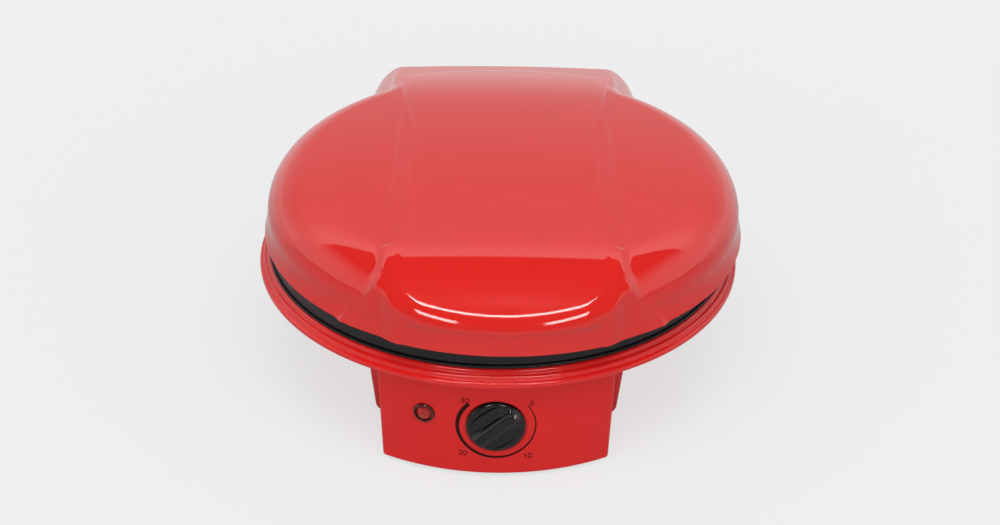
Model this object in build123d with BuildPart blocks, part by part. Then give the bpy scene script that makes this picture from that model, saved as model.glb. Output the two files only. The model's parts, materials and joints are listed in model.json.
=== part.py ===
from build123d import *
from math import asin, copysign, cos, degrees, radians, sin, sqrt
import os

os.makedirs("parts", exist_ok=True)

# Electric pizza maker: a round baking pan in a red base, under a hinged domed lid.
# Lengths are millimetres. Distances back and forth are measured from the pan's upright axis.



def both_sides(x, *others):
    """Places at a distance left and right of the middle, for each of the other coordinates."""
    return [(side * x, other) for side in (-1, 1) for other in others]


def around(radius, *angles):
    """Places on a circle at angles in degrees."""
    return [(radius * cos(radians(a)), radius * sin(radians(a))) for a in angles]


# Heights of the base, and the rim radius that the round pieces are measured from
BASE_HEIGHT = 87.5
FOOT_LIFT = 2.5
RIM_RADIUS = 170.0

# Gaps between pieces
SEAT_GAP = 0.1
COVER_GAP = 0.4
PANEL_GAP = 0.3
RUNNING_GAP = 0.06
FIXED_GAP = 0.02

# Pressed steel base bowl and its stepped rim
SHEET = 1.2
BOWL_DEPTH = 33.5
BOWL_FLARE = 29.6
RIM_STEP = 3.0
LIP_STEP = 6.3
LIP_DROP = 3.8
LIP_WIDTH = 2.0
STEP_WIDTH = 2.5
BEAD_WIDTH = 3.3
BEAD_SLOPE = 1.0
BEAD_RUN = 1.6
BOWL_WALL_LEAN = 3.0
bowl_under = BASE_HEIGHT - BOWL_DEPTH
bowl_floor = bowl_under + SHEET
lip_bottom = BASE_HEIGHT - LIP_STEP - LIP_DROP
bead_outer = RIM_RADIUS - LIP_WIDTH - STEP_WIDTH - BEAD_RUN
bead_inner = bead_outer - BEAD_WIDTH
bowl_wall_top = bead_inner - BOWL_WALL_LEAN
bowl_floor_radius = bowl_wall_top - BOWL_FLARE

# Baking pan
PAN_SHEET = 2.0
PAN_DEPTH = 15.6
PAN_FLANGE = 1.8
PAN_FLANGE_INSET = 0.9
PAN_MOUTH_INSET = 9.1
PAN_WALL_LEAN = 5.5
pan_rest = BASE_HEIGHT + SEAT_GAP
pan_under = pan_rest - PAN_DEPTH
pan_flange_radius = bead_outer - PAN_FLANGE_INSET
pan_mouth_radius = bead_inner - PAN_MOUTH_INSET
pan_floor_radius = pan_mouth_radius - PAN_WALL_LEAN

# Heating elements
TUBE_RADIUS = 3.3
ELEMENT_INSET = 23.0
ELEMENT_GAP = 0.3
LEG_SPREAD = 11.0
LEG_HOLE_GAP = 1.3
LEG_END_BELOW = 9.0
LEG_END_ABOVE = 8.0
CLIP_ROOM = 2.66
CLIP_WIDTH = 7.0
element_radius = bowl_floor_radius - ELEMENT_INSET
lower_element_z = pan_under - TUBE_RADIUS - ELEMENT_GAP
leg_y = sqrt(element_radius**2 - LEG_SPREAD**2)
LEGS = both_sides(LEG_SPREAD, leg_y)

# Lower reflector
REFLECTOR_SHEET = 0.8
REFLECTOR_RISE = 4.0
REFLECTOR_SEAT_RADIUS = 32.0
REFLECTOR_MARGIN = 4.0
REFLECTOR_EYE = 14.0
reflector_radius = bowl_floor_radius - REFLECTOR_MARGIN
reflector_top = bowl_floor + REFLECTOR_RISE + REFLECTOR_SHEET

# Thermostat and thermal fuses
THERMOSTAT_FLANGE = 1.2
THERMOSTAT_HEAD_RADIUS = 8.5
THERMOSTAT_STEM_RADIUS = 6.0
THERMOSTAT_STEM_LENGTH = 7.0
TAB_SPREAD = 3.5
TAB_SHEET = 0.8
TAB_WIDTH = 6.0
TAB_LENGTH = 8.0
FUSE_X = 40.0
FUSE_RADIUS = 2.2
FUSE_LENGTH = 14.0
LEAD_RADIUS = 0.7
LEAD_LENGTH = 6.0
STRAP_SHEET = 0.8
STRAP_WIDTH = 6.0
STRAP_FOOT = 5.0

# Hinge axle, and how far back the base and the lid reach behind it
HINGE_SETBACK = 12.0
HINGE_RISE = 8.5
KNUCKLE_RADIUS = 8.0
HINGE_HOUSING_OVERHANG = 6.0
hinge_y = RIM_RADIUS + HINGE_SETBACK
hinge_z = BASE_HEIGHT + HINGE_RISE
pedestal_rear = hinge_y + KNUCKLE_RADIUS
hinge_housing_reach = pedestal_rear + HINGE_HOUSING_OVERHANG

# Pedestal, the spine of the base
PEDESTAL_INSET = 86.0
PEDESTAL_FLARE = 7.0
PEDESTAL_FRONT = 98.0
PEDESTAL_CORNER = 12.0
PEDESTAL_WALL = 2.5
PEDESTAL_DROP = 5.4
PEDESTAL_BOTTOM_ROUND = 1.5
PEDESTAL_TOP_ROUND = 2.0
DOORWAY_HEIGHT = 32.0
DOORWAY_MARGIN = 1.0
pedestal_half_width = RIM_RADIUS - PEDESTAL_INSET
pedestal_top = lip_bottom - PEDESTAL_DROP
pedestal_length = PEDESTAL_FRONT + pedestal_rear
pedestal_middle = (pedestal_rear - PEDESTAL_FRONT) / 2

# Control housing, the curved nose at the front
HOUSING_SETBACK = 8.5
HOUSING_SIDE_INSET = 9.0
HOUSING_FLARE = 2.0
HOUSING_WALL = 2.5
HOUSING_CORNER = 3.5
FLANGE_SHEET = 2.0
FLANGE_WIDTH = 16.0
FLANGE_SINK = 1.0
FLANGE_LOW = 6.0
FLANGE_HEIGHT = 44.0
NECK_INSET = 19.0
NECK_LENGTH = 16.0
housing_radius = RIM_RADIUS - HOUSING_SETBACK
housing_half_width = pedestal_half_width - HOUSING_SIDE_INSET
housing_top = lip_bottom - COVER_GAP
housing_back = PEDESTAL_FRONT + PANEL_GAP
flange_x = housing_half_width - HOUSING_WALL + FLANGE_SINK - FLANGE_WIDTH / 2
neck_half_width = housing_half_width - NECK_INSET

# Screws and the bosses that they go into
SCREW_RADIUS = 1.6
SCREW_HEAD_RADIUS = 3.4
SCREW_HEAD_HEIGHT = 1.8
SCREW_LENGTH = 10.0
LONG_SCREW_LENGTH = 12.0
BOSS_RADIUS = 5.0
SMALL_BOSS_RADIUS = 4.5
COLUMN_INSET = 7.0
FRONT_COLUMN_SETBACK = 36.0
REAR_COLUMN_INSET = 34.0
HOUSING_SCREW_INSET = 10.0
HOUSING_SCREW_LOW = 10.0
HOUSING_SCREW_SPREAD = 26.0
column_x = pedestal_half_width - COLUMN_INSET
COLUMN_YS = (-PEDESTAL_FRONT + FRONT_COLUMN_SETBACK, bowl_floor_radius - REAR_COLUMN_INSET)
COLUMNS = both_sides(column_x, *COLUMN_YS)
housing_screw_x = housing_half_width - HOUSING_SCREW_INSET
housing_screw_z = FLANGE_LOW + HOUSING_SCREW_LOW
HOUSING_SCREWS = both_sides(housing_screw_x, housing_screw_z, housing_screw_z + HOUSING_SCREW_SPREAD)

# Bottom cover and rubber feet
COVER_LIFT = 0.5
COVER_SHEET = 2.0
VENT_LENGTH = 34.0
VENT_WIDTH = 3.0
VENT_PITCH = 9.0
VENT_ROWS = 8
VENT_COLUMN_PITCH = 44.0
VENT_MIDDLE = 30.0
FOOT_RADIUS = 7.5
FOOT_INSET = 20.0
FOOT_STEM_RADIUS = 2.6
FOOT_ROUND = 0.8
FOOT_BARB = 1.0
FOOT_BARB_HEIGHT = 1.2
cover_under = FOOT_LIFT + COVER_LIFT
cover_top = cover_under + COVER_SHEET
foot_x = pedestal_half_width - FOOT_INSET
FEET = both_sides(foot_x, FOOT_INSET - PEDESTAL_FRONT, pedestal_rear - FOOT_INSET)

# Timer and knob
KNOB_Z = 42.0
KNOB_RADIUS = 18.5
KNOB_HEIGHT = 14.8
KNOB_SKIRT = 6.8
KNOB_GRIP_WIDTH = 8.0
KNOB_ZERO_ANGLE = 47.0
KNOB_GAP = 0.4
MARK_WIDTH = 1.2
MARK_LENGTH = 5.0
MARK_DEPTH = 0.5
MARK_INSET = 6.5
POCKET_GAP = 2.1
POCKET_DEPTH = 0.7
POCKET_WALL = 2.6
POCKET_RIM = 2.0
SHAFT_RADIUS = 3.0
SHAFT_FLAT = 0.8
SHAFT_ROOM = 0.4
SHAFT_CAP = 4.0
SHAFT_END_GAP = 0.2
SHAFT_TAIL_GAP = 0.5
TIMER_WIDTH = 40.0
TIMER_DEPTH = 21.0
TIMER_BELOW = 18.0
TIMER_ABOVE = 13.0
TIMER_CORNER = 3.0
TIMER_SCREW_X = 13.0
TIMER_SCREW_LENGTH = 8.0
TIMER_SCREW_ROOM = 0.6
COUNTERSINK_RADIUS = 2.9
BELL_RADIUS = 12.0
BELL_DEPTH = 6.0
BELL_DROP = 3.0
BELL_ROUND = 3.5
pocket_radius = KNOB_RADIUS + POCKET_GAP
pocket_reach = housing_radius - POCKET_DEPTH
timer_face = pocket_reach - POCKET_WALL
knob_back = pocket_reach + KNOB_GAP
knob_reach = knob_back + KNOB_HEIGHT
TIMER_SCREWS = both_sides(TIMER_SCREW_X, KNOB_Z)

# The knob's face and the hinge housing's back wall are equally far from the origin
pan_y = (knob_reach - hinge_housing_reach) / 2

# Indicator lamp
LAMP_X = 46.4
LAMP_Z = 47.9
LENS_RADIUS = 6.5
LENS_STEP = 1.1
LENS_STEM_LENGTH = 14.0
LENS_WALL = 2.0
LENS_RIM = 0.6
LENS_DOME = 1.3
LENS_SEAT_GAP = 0.5
LAMP_GAP = 0.3
LAMP_TAIL = 2.0
LAMP_ROUND = 2.0
RETAINER_SHEET = 0.8
RETAINER_WIDTH = 3.5
lens_stem_radius = LENS_RADIUS - LENS_STEP

# Lid shell
LID_WALL = 2.2
LID_EDGE_INSET = 1.4
LID_EDGE_FLARE = 4.0
LID_GAP = 16.0
LID_WALL_RISE = 14.0
LID_SHOULDER = 32.2
LID_CROWN_RISE = 52.5
LID_BAND_RISE = 53.5
BAND_WAIST_INSET = 8.5
BAND_REAR_INSET = 8.0
HANDLE_OVERHANG = 3.0
HANDLE_HALF_WIDTH = 74.5
HANDLE_SIDE_INSET = 1.0
BAND_ROUND = 1.8
NOSE_ROUND = 5.0
HOUSING_BACK_ROUND = 5.0
HINGE_HOUSING_OVERLAP = 21.0
HINGE_HOUSING_RISE = 33.0
HINGE_HOUSING_CROWN = 2.0
HINGE_HOUSING_CORNER = 19.0
HINGE_HOUSING_DEPTH = 78.0
lid_edge = BASE_HEIGHT + LID_GAP
lid_edge_radius = RIM_RADIUS - LID_EDGE_INSET
lid_wall_radius = lid_edge_radius - LID_EDGE_FLARE
handle_reach = lid_edge_radius + HANDLE_OVERHANG
band_waist = HANDLE_HALF_WIDTH - BAND_WAIST_INSET
hinge_housing_half_width = pedestal_half_width + HINGE_HOUSING_OVERLAP
band_rear_half_width = hinge_housing_half_width - HINGE_HOUSING_CORNER

# Lid's cooking plate and reflector
PLATE_SHEET = 2.2
PLATE_FACE_RISE = 3.3
PLATE_FACE_SLOPE = 4.0
PLATE_BEND = 1.0
PLATE_GAP = 0.8
PLATE_SKIRT = 1.6
PLATE_HEIGHT = 16.6
PLATE_LIFT = 0.5
PLATE_BOSS_RADIUS = 70.0
LID_REFLECTOR_RISE = 4.5
LID_REFLECTOR_OVERLAP = 1.8
LID_REFLECTOR_BORDER = 21.6
LID_COLUMN_INSET = 8.6
LID_SCREW_LENGTH = 14.0
SCREW_TIP_ROOM = 2.0
plate_radius = lid_wall_radius - LID_WALL - PLATE_GAP
plate_rim = pan_rest + PAN_FLANGE + PLATE_LIFT
plate_face = plate_rim + PLATE_FACE_RISE
plate_back = plate_face + PLATE_SHEET
plate_top = plate_rim + PLATE_HEIGHT
lid_reflector_top = plate_top + REFLECTOR_SHEET
lid_reflector_dish = plate_radius - LID_REFLECTOR_BORDER
lid_dish_top = lid_reflector_top + LID_REFLECTOR_RISE
plate_boss_height = plate_top + LID_REFLECTOR_RISE - plate_back
upper_element_z = plate_back + TUBE_RADIUS + SEAT_GAP
lid_column_radius = plate_radius - LID_COLUMN_INSET
LID_COLUMNS = around(lid_column_radius, 35, 145, 215, 325)
PLATE_BOSSES = around(PLATE_BOSS_RADIUS, 0, 90, 180, 270)

# Hinge: knuckles and bracket of the base, arms of the lid, and pins
KNUCKLE_INSET = 38.0
KNUCKLE_WIDTH = 14.0
KNUCKLE_HEADROOM = 6.0
ARM_GAP = 1.0
ARM_THICKNESS = 8.0
ARM_TAPER = 3.0
ARM_FOOT = 15.0
ARM_FOOT_SHEET = 3.0
ARM_FOOT_RISE = 24.0
ARM_FOOT_SETBACK = 15.0
ARM_FOOT_LENGTH = 28.0
ARM_FOOT_MARGIN = 2.0
ARM_SCREW_SPREAD = 7.0
ARM_SCREW_LENGTH = 7.5
ARM_SCREW_ROOM = 0.5
PIN_RADIUS = 3.0
PIN_HEAD = 1.4
PIN_HEAD_RIM = 1.6
PIN_TAIL = 3.0
GROOVE_DEPTH = 0.5
CLIP_GAP = 0.5
CLIP_SHEET = 0.8
CLIP_RIM = 2.0
CLIP_MOUTH = 2.4
BRACKET_SHEET = 2.5
BRACKET_INSET = 7.0
BRACKET_MARGIN = 2.2
BRACKET_CORNER = 3.0
BRACKET_SCREW_INSET = 5.0
BRACKET_SCREW_STEP = 16.0
knuckle_inner_x = pedestal_half_width - KNUCKLE_INSET
knuckle_outer_x = knuckle_inner_x + KNUCKLE_WIDTH
arm_x = knuckle_outer_x + ARM_GAP
arm_outer_x = arm_x + ARM_THICKNESS
arm_foot_top = lid_edge + ARM_FOOT_RISE
arm_foot_y = hinge_y - ARM_FOOT_SETBACK
arm_screw_x = arm_x - ARM_FOOT / 2
ARM_SCREWS = both_sides(arm_screw_x, arm_foot_y - ARM_SCREW_SPREAD, arm_foot_y + ARM_SCREW_SPREAD)
bracket_half_length = pedestal_half_width - BRACKET_INSET
bracket_width = 2 * (KNUCKLE_RADIUS - BRACKET_MARGIN)
inner_bracket_screws = both_sides(knuckle_inner_x - BRACKET_SCREW_STEP, hinge_y)
outer_bracket_screws = both_sides(bracket_half_length - BRACKET_SCREW_INSET, hinge_y)
BRACKET_SCREWS = inner_bracket_screws + outer_bracket_screws

# Cord inlet at the back, left open, with the clamp and the terminal block in front of it
GLAND_X = -52.0
GLAND_Z = 16.0
GLAND_BORE_RADIUS = 3.6
GLAND_BODY_RADIUS = 6.0
GLAND_FLANGE_RADIUS = 9.0
GLAND_FLANGE_SHEET = 3.0
GLAND_NUT_RIM = 1.5
GLAND_NUT_SHEET = 2.0
GLAND_LENGTH = 14.0
CLAMP_SETBACK = 28.0
CLAMP_WIDTH = 24.0
CLAMP_LENGTH = 8.0
CLAMP_HEADROOM = 6.0
CLAMP_SPLIT = 0.6
TERMINAL_STEP = 26.0
TERMINAL_SETBACK = 70.0
TERMINAL_WIDTH = 18.0
TERMINAL_LENGTH = 36.0
TERMINAL_HEIGHT = 16.0
TERMINAL_PITCH = 11.0
TERMINAL_WELL_WIDTH = 9.0
TERMINAL_WELL_DEPTH = 7.0
gland_inner_end = pedestal_rear + GLAND_FLANGE_SHEET - GLAND_LENGTH

pan_axis = Axis((0, pan_y, 0), (0, 0, 1))
section_plane = Plane((0, pan_y, 0), x_dir=(1, 0, 0), z_dir=(0, -1, 0))


def level(height):
    """Horizontal plane, with its centre on the pan's axis."""
    return Plane((0, pan_y, height), x_dir=(1, 0, 0), z_dir=(0, 0, 1))


def under(height):
    """Horizontal plane that faces down, with its centre on the pan's axis."""
    return Plane((0, pan_y, height), x_dir=(1, 0, 0), z_dir=(0, 0, -1))


def upright(reach):
    """Upright plane that faces the front, at a distance behind the pan's axis."""
    return Plane((0, pan_y + reach, 0), x_dir=(1, 0, 0), z_dir=(0, -1, 0))


def backward(reach):
    """Upright plane that faces the back, at a distance behind the pan's axis."""
    return Plane((0, pan_y + reach, 0), x_dir=(-1, 0, 0), z_dir=(0, 1, 0))


def lengthways(x):
    """Upright plane across the hinge axle, at a distance to the right."""
    return Plane((x, pan_y, 0), x_dir=(0, 1, 0), z_dir=(1, 0, 0))


def screw(plane, length):
    """Pan-head screw: its head stands on the plane and its shank goes down through it."""
    with BuildPart() as body:
        with BuildSketch(plane):
            Circle(SCREW_HEAD_RADIUS)
        extrude(amount=SCREW_HEAD_HEIGHT)
        with BuildSketch(plane):
            Circle(SCREW_RADIUS)
        extrude(amount=-length)
        with BuildSketch(plane.offset(SCREW_HEAD_HEIGHT / 2)):
            Rectangle(SCREW_HEAD_RADIUS * 1.3, SCREW_RADIUS / 2)
            Rectangle(SCREW_RADIUS / 2, SCREW_HEAD_RADIUS * 1.3)
        extrude(amount=SCREW_HEAD_HEIGHT, mode=Mode.SUBTRACT)
    return body.part


def moved(plane, x, y):
    """The same plane with its origin moved within itself."""
    return Plane(plane.from_local_coords(Vector(x, y, 0)), x_dir=plane.x_dir, z_dir=plane.z_dir)


# Envelopes that neighbouring pieces are cut back from

with BuildPart() as bowl_envelope:
    with BuildSketch(section_plane):
        with BuildLine():
            Polyline(
                (0, bowl_under),
                (bowl_floor_radius + COVER_GAP, bowl_under),
                (bowl_wall_top + SHEET + COVER_GAP, lip_bottom),
                (bowl_wall_top + SHEET + COVER_GAP, BASE_HEIGHT),
                (0, BASE_HEIGHT),
                close=True,
            )
        make_face()
    revolve(axis=pan_axis)

# Base bowl: one steel pressing from the flat floor out to the rolled lip

with BuildPart() as base_bowl:
    with BuildSketch(section_plane):
        with BuildLine():
            Polyline(
                (0, bowl_floor),
                (bowl_floor_radius - SHEET / 2, bowl_floor),
                (bowl_wall_top, lip_bottom),
                (bead_inner, BASE_HEIGHT),
                (bead_outer, BASE_HEIGHT),
                (bead_outer + BEAD_SLOPE, BASE_HEIGHT - RIM_STEP),
                (RIM_RADIUS - LIP_WIDTH - BEAD_SLOPE / 2, BASE_HEIGHT - RIM_STEP),
                (RIM_RADIUS - LIP_WIDTH, BASE_HEIGHT - LIP_STEP),
                (RIM_RADIUS, BASE_HEIGHT - LIP_STEP),
                (RIM_RADIUS, lip_bottom),
                (RIM_RADIUS - SHEET, lip_bottom),
                (RIM_RADIUS - SHEET, BASE_HEIGHT - LIP_STEP - SHEET),
                (RIM_RADIUS - LIP_WIDTH - SHEET, BASE_HEIGHT - LIP_STEP - SHEET),
                (RIM_RADIUS - LIP_WIDTH - SHEET - BEAD_SLOPE / 2, BASE_HEIGHT - RIM_STEP - SHEET),
                (bead_outer, BASE_HEIGHT - RIM_STEP - SHEET),
                (bead_outer - SHEET, BASE_HEIGHT - SHEET),
                (bead_inner + SHEET, BASE_HEIGHT - SHEET),
                (bowl_wall_top + SHEET, lip_bottom),
                (bowl_floor_radius, bowl_under),
                (0, bowl_under),
                close=True,
            )
        face = make_face()
        off_axis = [corner for corner in face.vertices() if corner.X > bowl_floor_radius - SHEET]
        fillet(off_axis, SHEET * 0.4)
    revolve(axis=pan_axis)
    with BuildSketch(level(bowl_under)):
        with Locations(*LEGS):
            Circle(TUBE_RADIUS + LEG_HOLE_GAP)
        with Locations(*COLUMNS):
            Circle(SCREW_RADIUS + RUNNING_GAP)
        Circle(THERMOSTAT_STEM_RADIUS + 1)
    extrude(amount=SHEET, mode=Mode.SUBTRACT)
base_bowl.part.label = "base_bowl"
export_step(base_bowl.part, "parts/base_bowl.step")

# Pedestal: flared box with a wall that rises behind the bowl


def pedestal_outline(height, widen, inset):
    """Rounded outline of the pedestal, wider by widen and smaller by inset all round."""
    with BuildSketch(level(height)) as outline:
        with Locations((0, pedestal_middle)):
            width = 2 * (pedestal_half_width + widen - inset)
            RectangleRounded(width, pedestal_length - 2 * inset, PEDESTAL_CORNER - inset)
    return outline.sketch


with BuildPart() as pedestal:
    loft([pedestal_outline(FOOT_LIFT, 0, 0), pedestal_outline(pedestal_top, PEDESTAL_FLARE, 0)])
    fillet(pedestal.faces().sort_by(Axis.Z)[0].edges(), PEDESTAL_BOTTOM_ROUND)
    fillet(pedestal.faces().sort_by(Axis.Z)[-1].edges(), PEDESTAL_TOP_ROUND)
    hollow_low = pedestal_outline(FOOT_LIFT - 1, 0, PEDESTAL_WALL)
    hollow_high = pedestal_outline(pedestal_top - PEDESTAL_WALL, PEDESTAL_FLARE, PEDESTAL_WALL)
    loft([hollow_low, hollow_high], mode=Mode.SUBTRACT)
    # Boss columns that carry the bowl, each with a rib to the side wall
    with BuildSketch(level(cover_top)):
        with Locations(*COLUMNS):
            Circle(BOSS_RADIUS)
    extrude(amount=bowl_under - cover_top)
    rib_foot = pedestal_half_width - PEDESTAL_WALL / 2
    rib_lean = PEDESTAL_FLARE * (bowl_under - FOOT_LIFT) / (pedestal_top - FOOT_LIFT)
    for y in COLUMN_YS:
        with BuildSketch(upright(y)):
            with BuildLine():
                Polyline(
                    (column_x, cover_top),
                    (rib_foot, cover_top),
                    (rib_foot + rib_lean, bowl_under),
                    (column_x, bowl_under),
                    close=True,
                )
            make_face()
            mirror(about=Plane.YZ)
        extrude(amount=SCREW_RADIUS, both=True)
    add(bowl_envelope.part, mode=Mode.SUBTRACT)
    with BuildSketch(level(cover_top)):
        with Locations(*COLUMNS):
            Circle(SCREW_RADIUS + FIXED_GAP)
    extrude(amount=bowl_under - cover_top, mode=Mode.SUBTRACT)
    # Doorway between the pedestal and the control housing
    with BuildSketch(upright(-PEDESTAL_FRONT)):
        with Locations((0, FOOT_LIFT)):
            Rectangle(2 * (neck_half_width + DOORWAY_MARGIN), 2 * DOORWAY_HEIGHT)
    extrude(amount=-2 * PEDESTAL_WALL, mode=Mode.SUBTRACT)
    # Bosses for the control housing's screws
    with BuildSketch(upright(-PEDESTAL_FRONT + PEDESTAL_WALL / 2)):
        with Locations(*HOUSING_SCREWS):
            Circle(SMALL_BOSS_RADIUS)
    extrude(amount=-SCREW_LENGTH - 1)
    with BuildSketch(upright(-PEDESTAL_FRONT)):
        with Locations(*HOUSING_SCREWS):
            Circle(SCREW_RADIUS + FIXED_GAP)
    extrude(amount=-SCREW_LENGTH, mode=Mode.SUBTRACT)
    # Bosses under the roof for the hinge bracket's screws
    with BuildSketch(level(pedestal_top - PEDESTAL_WALL)):
        with Locations(*BRACKET_SCREWS):
            Circle(SMALL_BOSS_RADIUS)
    extrude(amount=-SCREW_LENGTH + 1)
    with BuildSketch(level(pedestal_top)):
        with Locations(*BRACKET_SCREWS):
            Circle(SCREW_RADIUS + FIXED_GAP)
    extrude(amount=-SCREW_LENGTH, mode=Mode.SUBTRACT)
    # Hole for the cord gland
    with BuildSketch(backward(pedestal_rear + 1)):
        with Locations((-GLAND_X, GLAND_Z)):
            Circle(GLAND_BODY_RADIUS + SEAT_GAP)
    extrude(amount=-PEDESTAL_WALL - 4, mode=Mode.SUBTRACT)
pedestal.part.label = "pedestal"
export_step(pedestal.part, "parts/pedestal.step")

# Control housing: the curved nose that carries the timer and the lamp


def nose_outline(height, widen, inset, back):
    """Plan of the control housing, with a front face that is an arc about the pan's axis."""
    radius = housing_radius + widen - inset
    half_width = housing_half_width + widen - inset
    with BuildSketch(level(height)) as outline:
        with BuildLine():
            corner_y = -sqrt(radius**2 - half_width**2)
            left, right = (-half_width, corner_y), (half_width, corner_y)
            ThreePointArc(left, (0, -radius), right)
            Polyline(right, (half_width, -back), (-half_width, -back), left)
        face = make_face()
        fillet(face.vertices().group_by(Axis.Y)[0], HOUSING_CORNER - inset / 2)
    return outline.sketch


def lamp_plane(out):
    """Plane square to the front face at the lamp, at a distance out from the face."""
    turn = asin(-LAMP_X / housing_radius)
    reach = housing_radius + HOUSING_FLARE * (LAMP_Z - FOOT_LIFT) / (housing_top - FOOT_LIFT) + out
    centre = (reach * sin(turn), pan_y - reach * cos(turn), LAMP_Z)
    return Plane(centre, x_dir=(cos(turn), sin(turn), 0), z_dir=(sin(turn), -cos(turn), 0))


with BuildPart() as control_housing:
    outside_low = nose_outline(FOOT_LIFT, 0, 0, housing_back)
    outside_high = nose_outline(housing_top, HOUSING_FLARE, 0, housing_back)
    loft([outside_low, outside_high])
    fillet(control_housing.faces().sort_by(Axis.Z)[0].edges().sort_by(Axis.Y)[:-1], 1.0)
    hollow_low = nose_outline(FOOT_LIFT - 1, 0, HOUSING_WALL, housing_back - 1)
    hollow_high = nose_outline(housing_top + 1, HOUSING_FLARE, HOUSING_WALL, housing_back - 1)
    loft([hollow_low, hollow_high], mode=Mode.SUBTRACT)
    # Flanges that lie against the pedestal
    with BuildSketch(upright(-housing_back)):
        with Locations(*both_sides(flange_x, FLANGE_LOW + FLANGE_HEIGHT / 2)):
            Rectangle(FLANGE_WIDTH, FLANGE_HEIGHT)
    extrude(amount=FLANGE_SHEET)
    with BuildSketch(upright(-housing_back)):
        with Locations(*HOUSING_SCREWS):
            Circle(SCREW_RADIUS + RUNNING_GAP)
    extrude(amount=FLANGE_SHEET, mode=Mode.SUBTRACT)
    # Boss behind the knob, with the shallow pocket in front of it
    with BuildSketch(upright(-timer_face)):
        with Locations((0, KNOB_Z)):
            Circle(pocket_radius + POCKET_RIM)
    extrude(amount=POCKET_WALL)
    with BuildSketch(upright(-pocket_reach)):
        with Locations((0, KNOB_Z)):
            Circle(pocket_radius)
    extrude(amount=8.0, mode=Mode.SUBTRACT)
    with BuildSketch(upright(-timer_face)):
        with Locations((0, KNOB_Z)):
            Circle(SHAFT_RADIUS + 1)
    extrude(amount=POCKET_WALL, mode=Mode.SUBTRACT)
    with Locations(upright(-pocket_reach)):
        with Locations(*TIMER_SCREWS):
            CounterSinkHole(SCREW_RADIUS + RUNNING_GAP, COUNTERSINK_RADIUS + RUNNING_GAP, POCKET_WALL, 90)
    # Hole and shallow seat for the lens
    with BuildSketch(lamp_plane(-LENS_RIM)):
        Circle(LENS_RADIUS + LENS_SEAT_GAP)
    extrude(amount=3.0, mode=Mode.SUBTRACT)
    with BuildSketch(lamp_plane(-HOUSING_WALL - 1)):
        Circle(lens_stem_radius + SEAT_GAP)
    extrude(amount=HOUSING_WALL + 2, mode=Mode.SUBTRACT)
    add(bowl_envelope.part, mode=Mode.SUBTRACT)
control_housing.part.label = "control_housing"
export_step(control_housing.part, "parts/control_housing.step")

with BuildPart() as housing_screws:
    for x, z in HOUSING_SCREWS:
        add(screw(moved(upright(-housing_back - FLANGE_SHEET), x, z), SCREW_LENGTH))
housing_screws.part.label = "housing_screws"
export_step(housing_screws.part, "parts/housing_screws.step")

# Bottom cover with vent slots, its screws and the rubber feet

with BuildPart() as bottom_cover:
    with BuildSketch(level(cover_under)):
        with Locations((0, pedestal_middle)):
            RectangleRounded(
                2 * (pedestal_half_width - PEDESTAL_WALL - COVER_GAP),
                pedestal_length - 2 * (PEDESTAL_WALL + COVER_GAP),
                PEDESTAL_CORNER - PEDESTAL_WALL - COVER_GAP,
            )
        with Locations((0, -PEDESTAL_FRONT)):
            Rectangle(2 * neck_half_width, NECK_LENGTH)
    extrude(amount=COVER_SHEET)
    nose_back = housing_back + NECK_LENGTH / 4
    extrude(nose_outline(cover_under, 0, HOUSING_WALL + COVER_GAP, nose_back), amount=COVER_SHEET)
    with BuildSketch(level(cover_under)):
        with Locations((0, VENT_MIDDLE)):
            with GridLocations(VENT_COLUMN_PITCH, VENT_PITCH, 3, VENT_ROWS):
                SlotOverall(VENT_LENGTH, VENT_WIDTH)
        with Locations(*COLUMNS):
            Circle(SCREW_RADIUS + RUNNING_GAP)
        with Locations(*FEET):
            Circle(FOOT_STEM_RADIUS + FIXED_GAP)
    extrude(amount=COVER_SHEET, mode=Mode.SUBTRACT)
bottom_cover.part.label = "bottom_cover"
export_step(bottom_cover.part, "parts/bottom_cover.step")

with BuildPart() as bottom_screws:
    for x, y in COLUMNS:
        add(screw(moved(under(cover_under), x, -y), LONG_SCREW_LENGTH))
bottom_screws.part.label = "bottom_screws"
export_step(bottom_screws.part, "parts/bottom_screws.step")

with BuildPart() as rubber_feet:
    with BuildSketch(level(0)):
        with Locations(*FEET):
            Circle(FOOT_RADIUS)
    extrude(amount=cover_under)
    fillet(rubber_feet.faces().group_by(Axis.Z)[0].edges(), FOOT_ROUND)
    with BuildSketch(level(cover_under)):
        with Locations(*FEET):
            Circle(FOOT_STEM_RADIUS)
    extrude(amount=COVER_SHEET)
    with BuildSketch(level(cover_top)):
        with Locations(*FEET):
            Circle(FOOT_STEM_RADIUS + FOOT_BARB)
    extrude(amount=FOOT_BARB_HEIGHT)
rubber_feet.part.label = "rubber_feet"
export_step(rubber_feet.part, "parts/rubber_feet.step")

with BuildPart() as bowl_screws:
    for x, y in COLUMNS:
        add(screw(moved(level(bowl_floor), x, y), LONG_SCREW_LENGTH))
bowl_screws.part.label = "bowl_screws"
export_step(bowl_screws.part, "parts/bowl_screws.step")

# Lower reflector: dished sheet that stands on the bowl's floor

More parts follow.
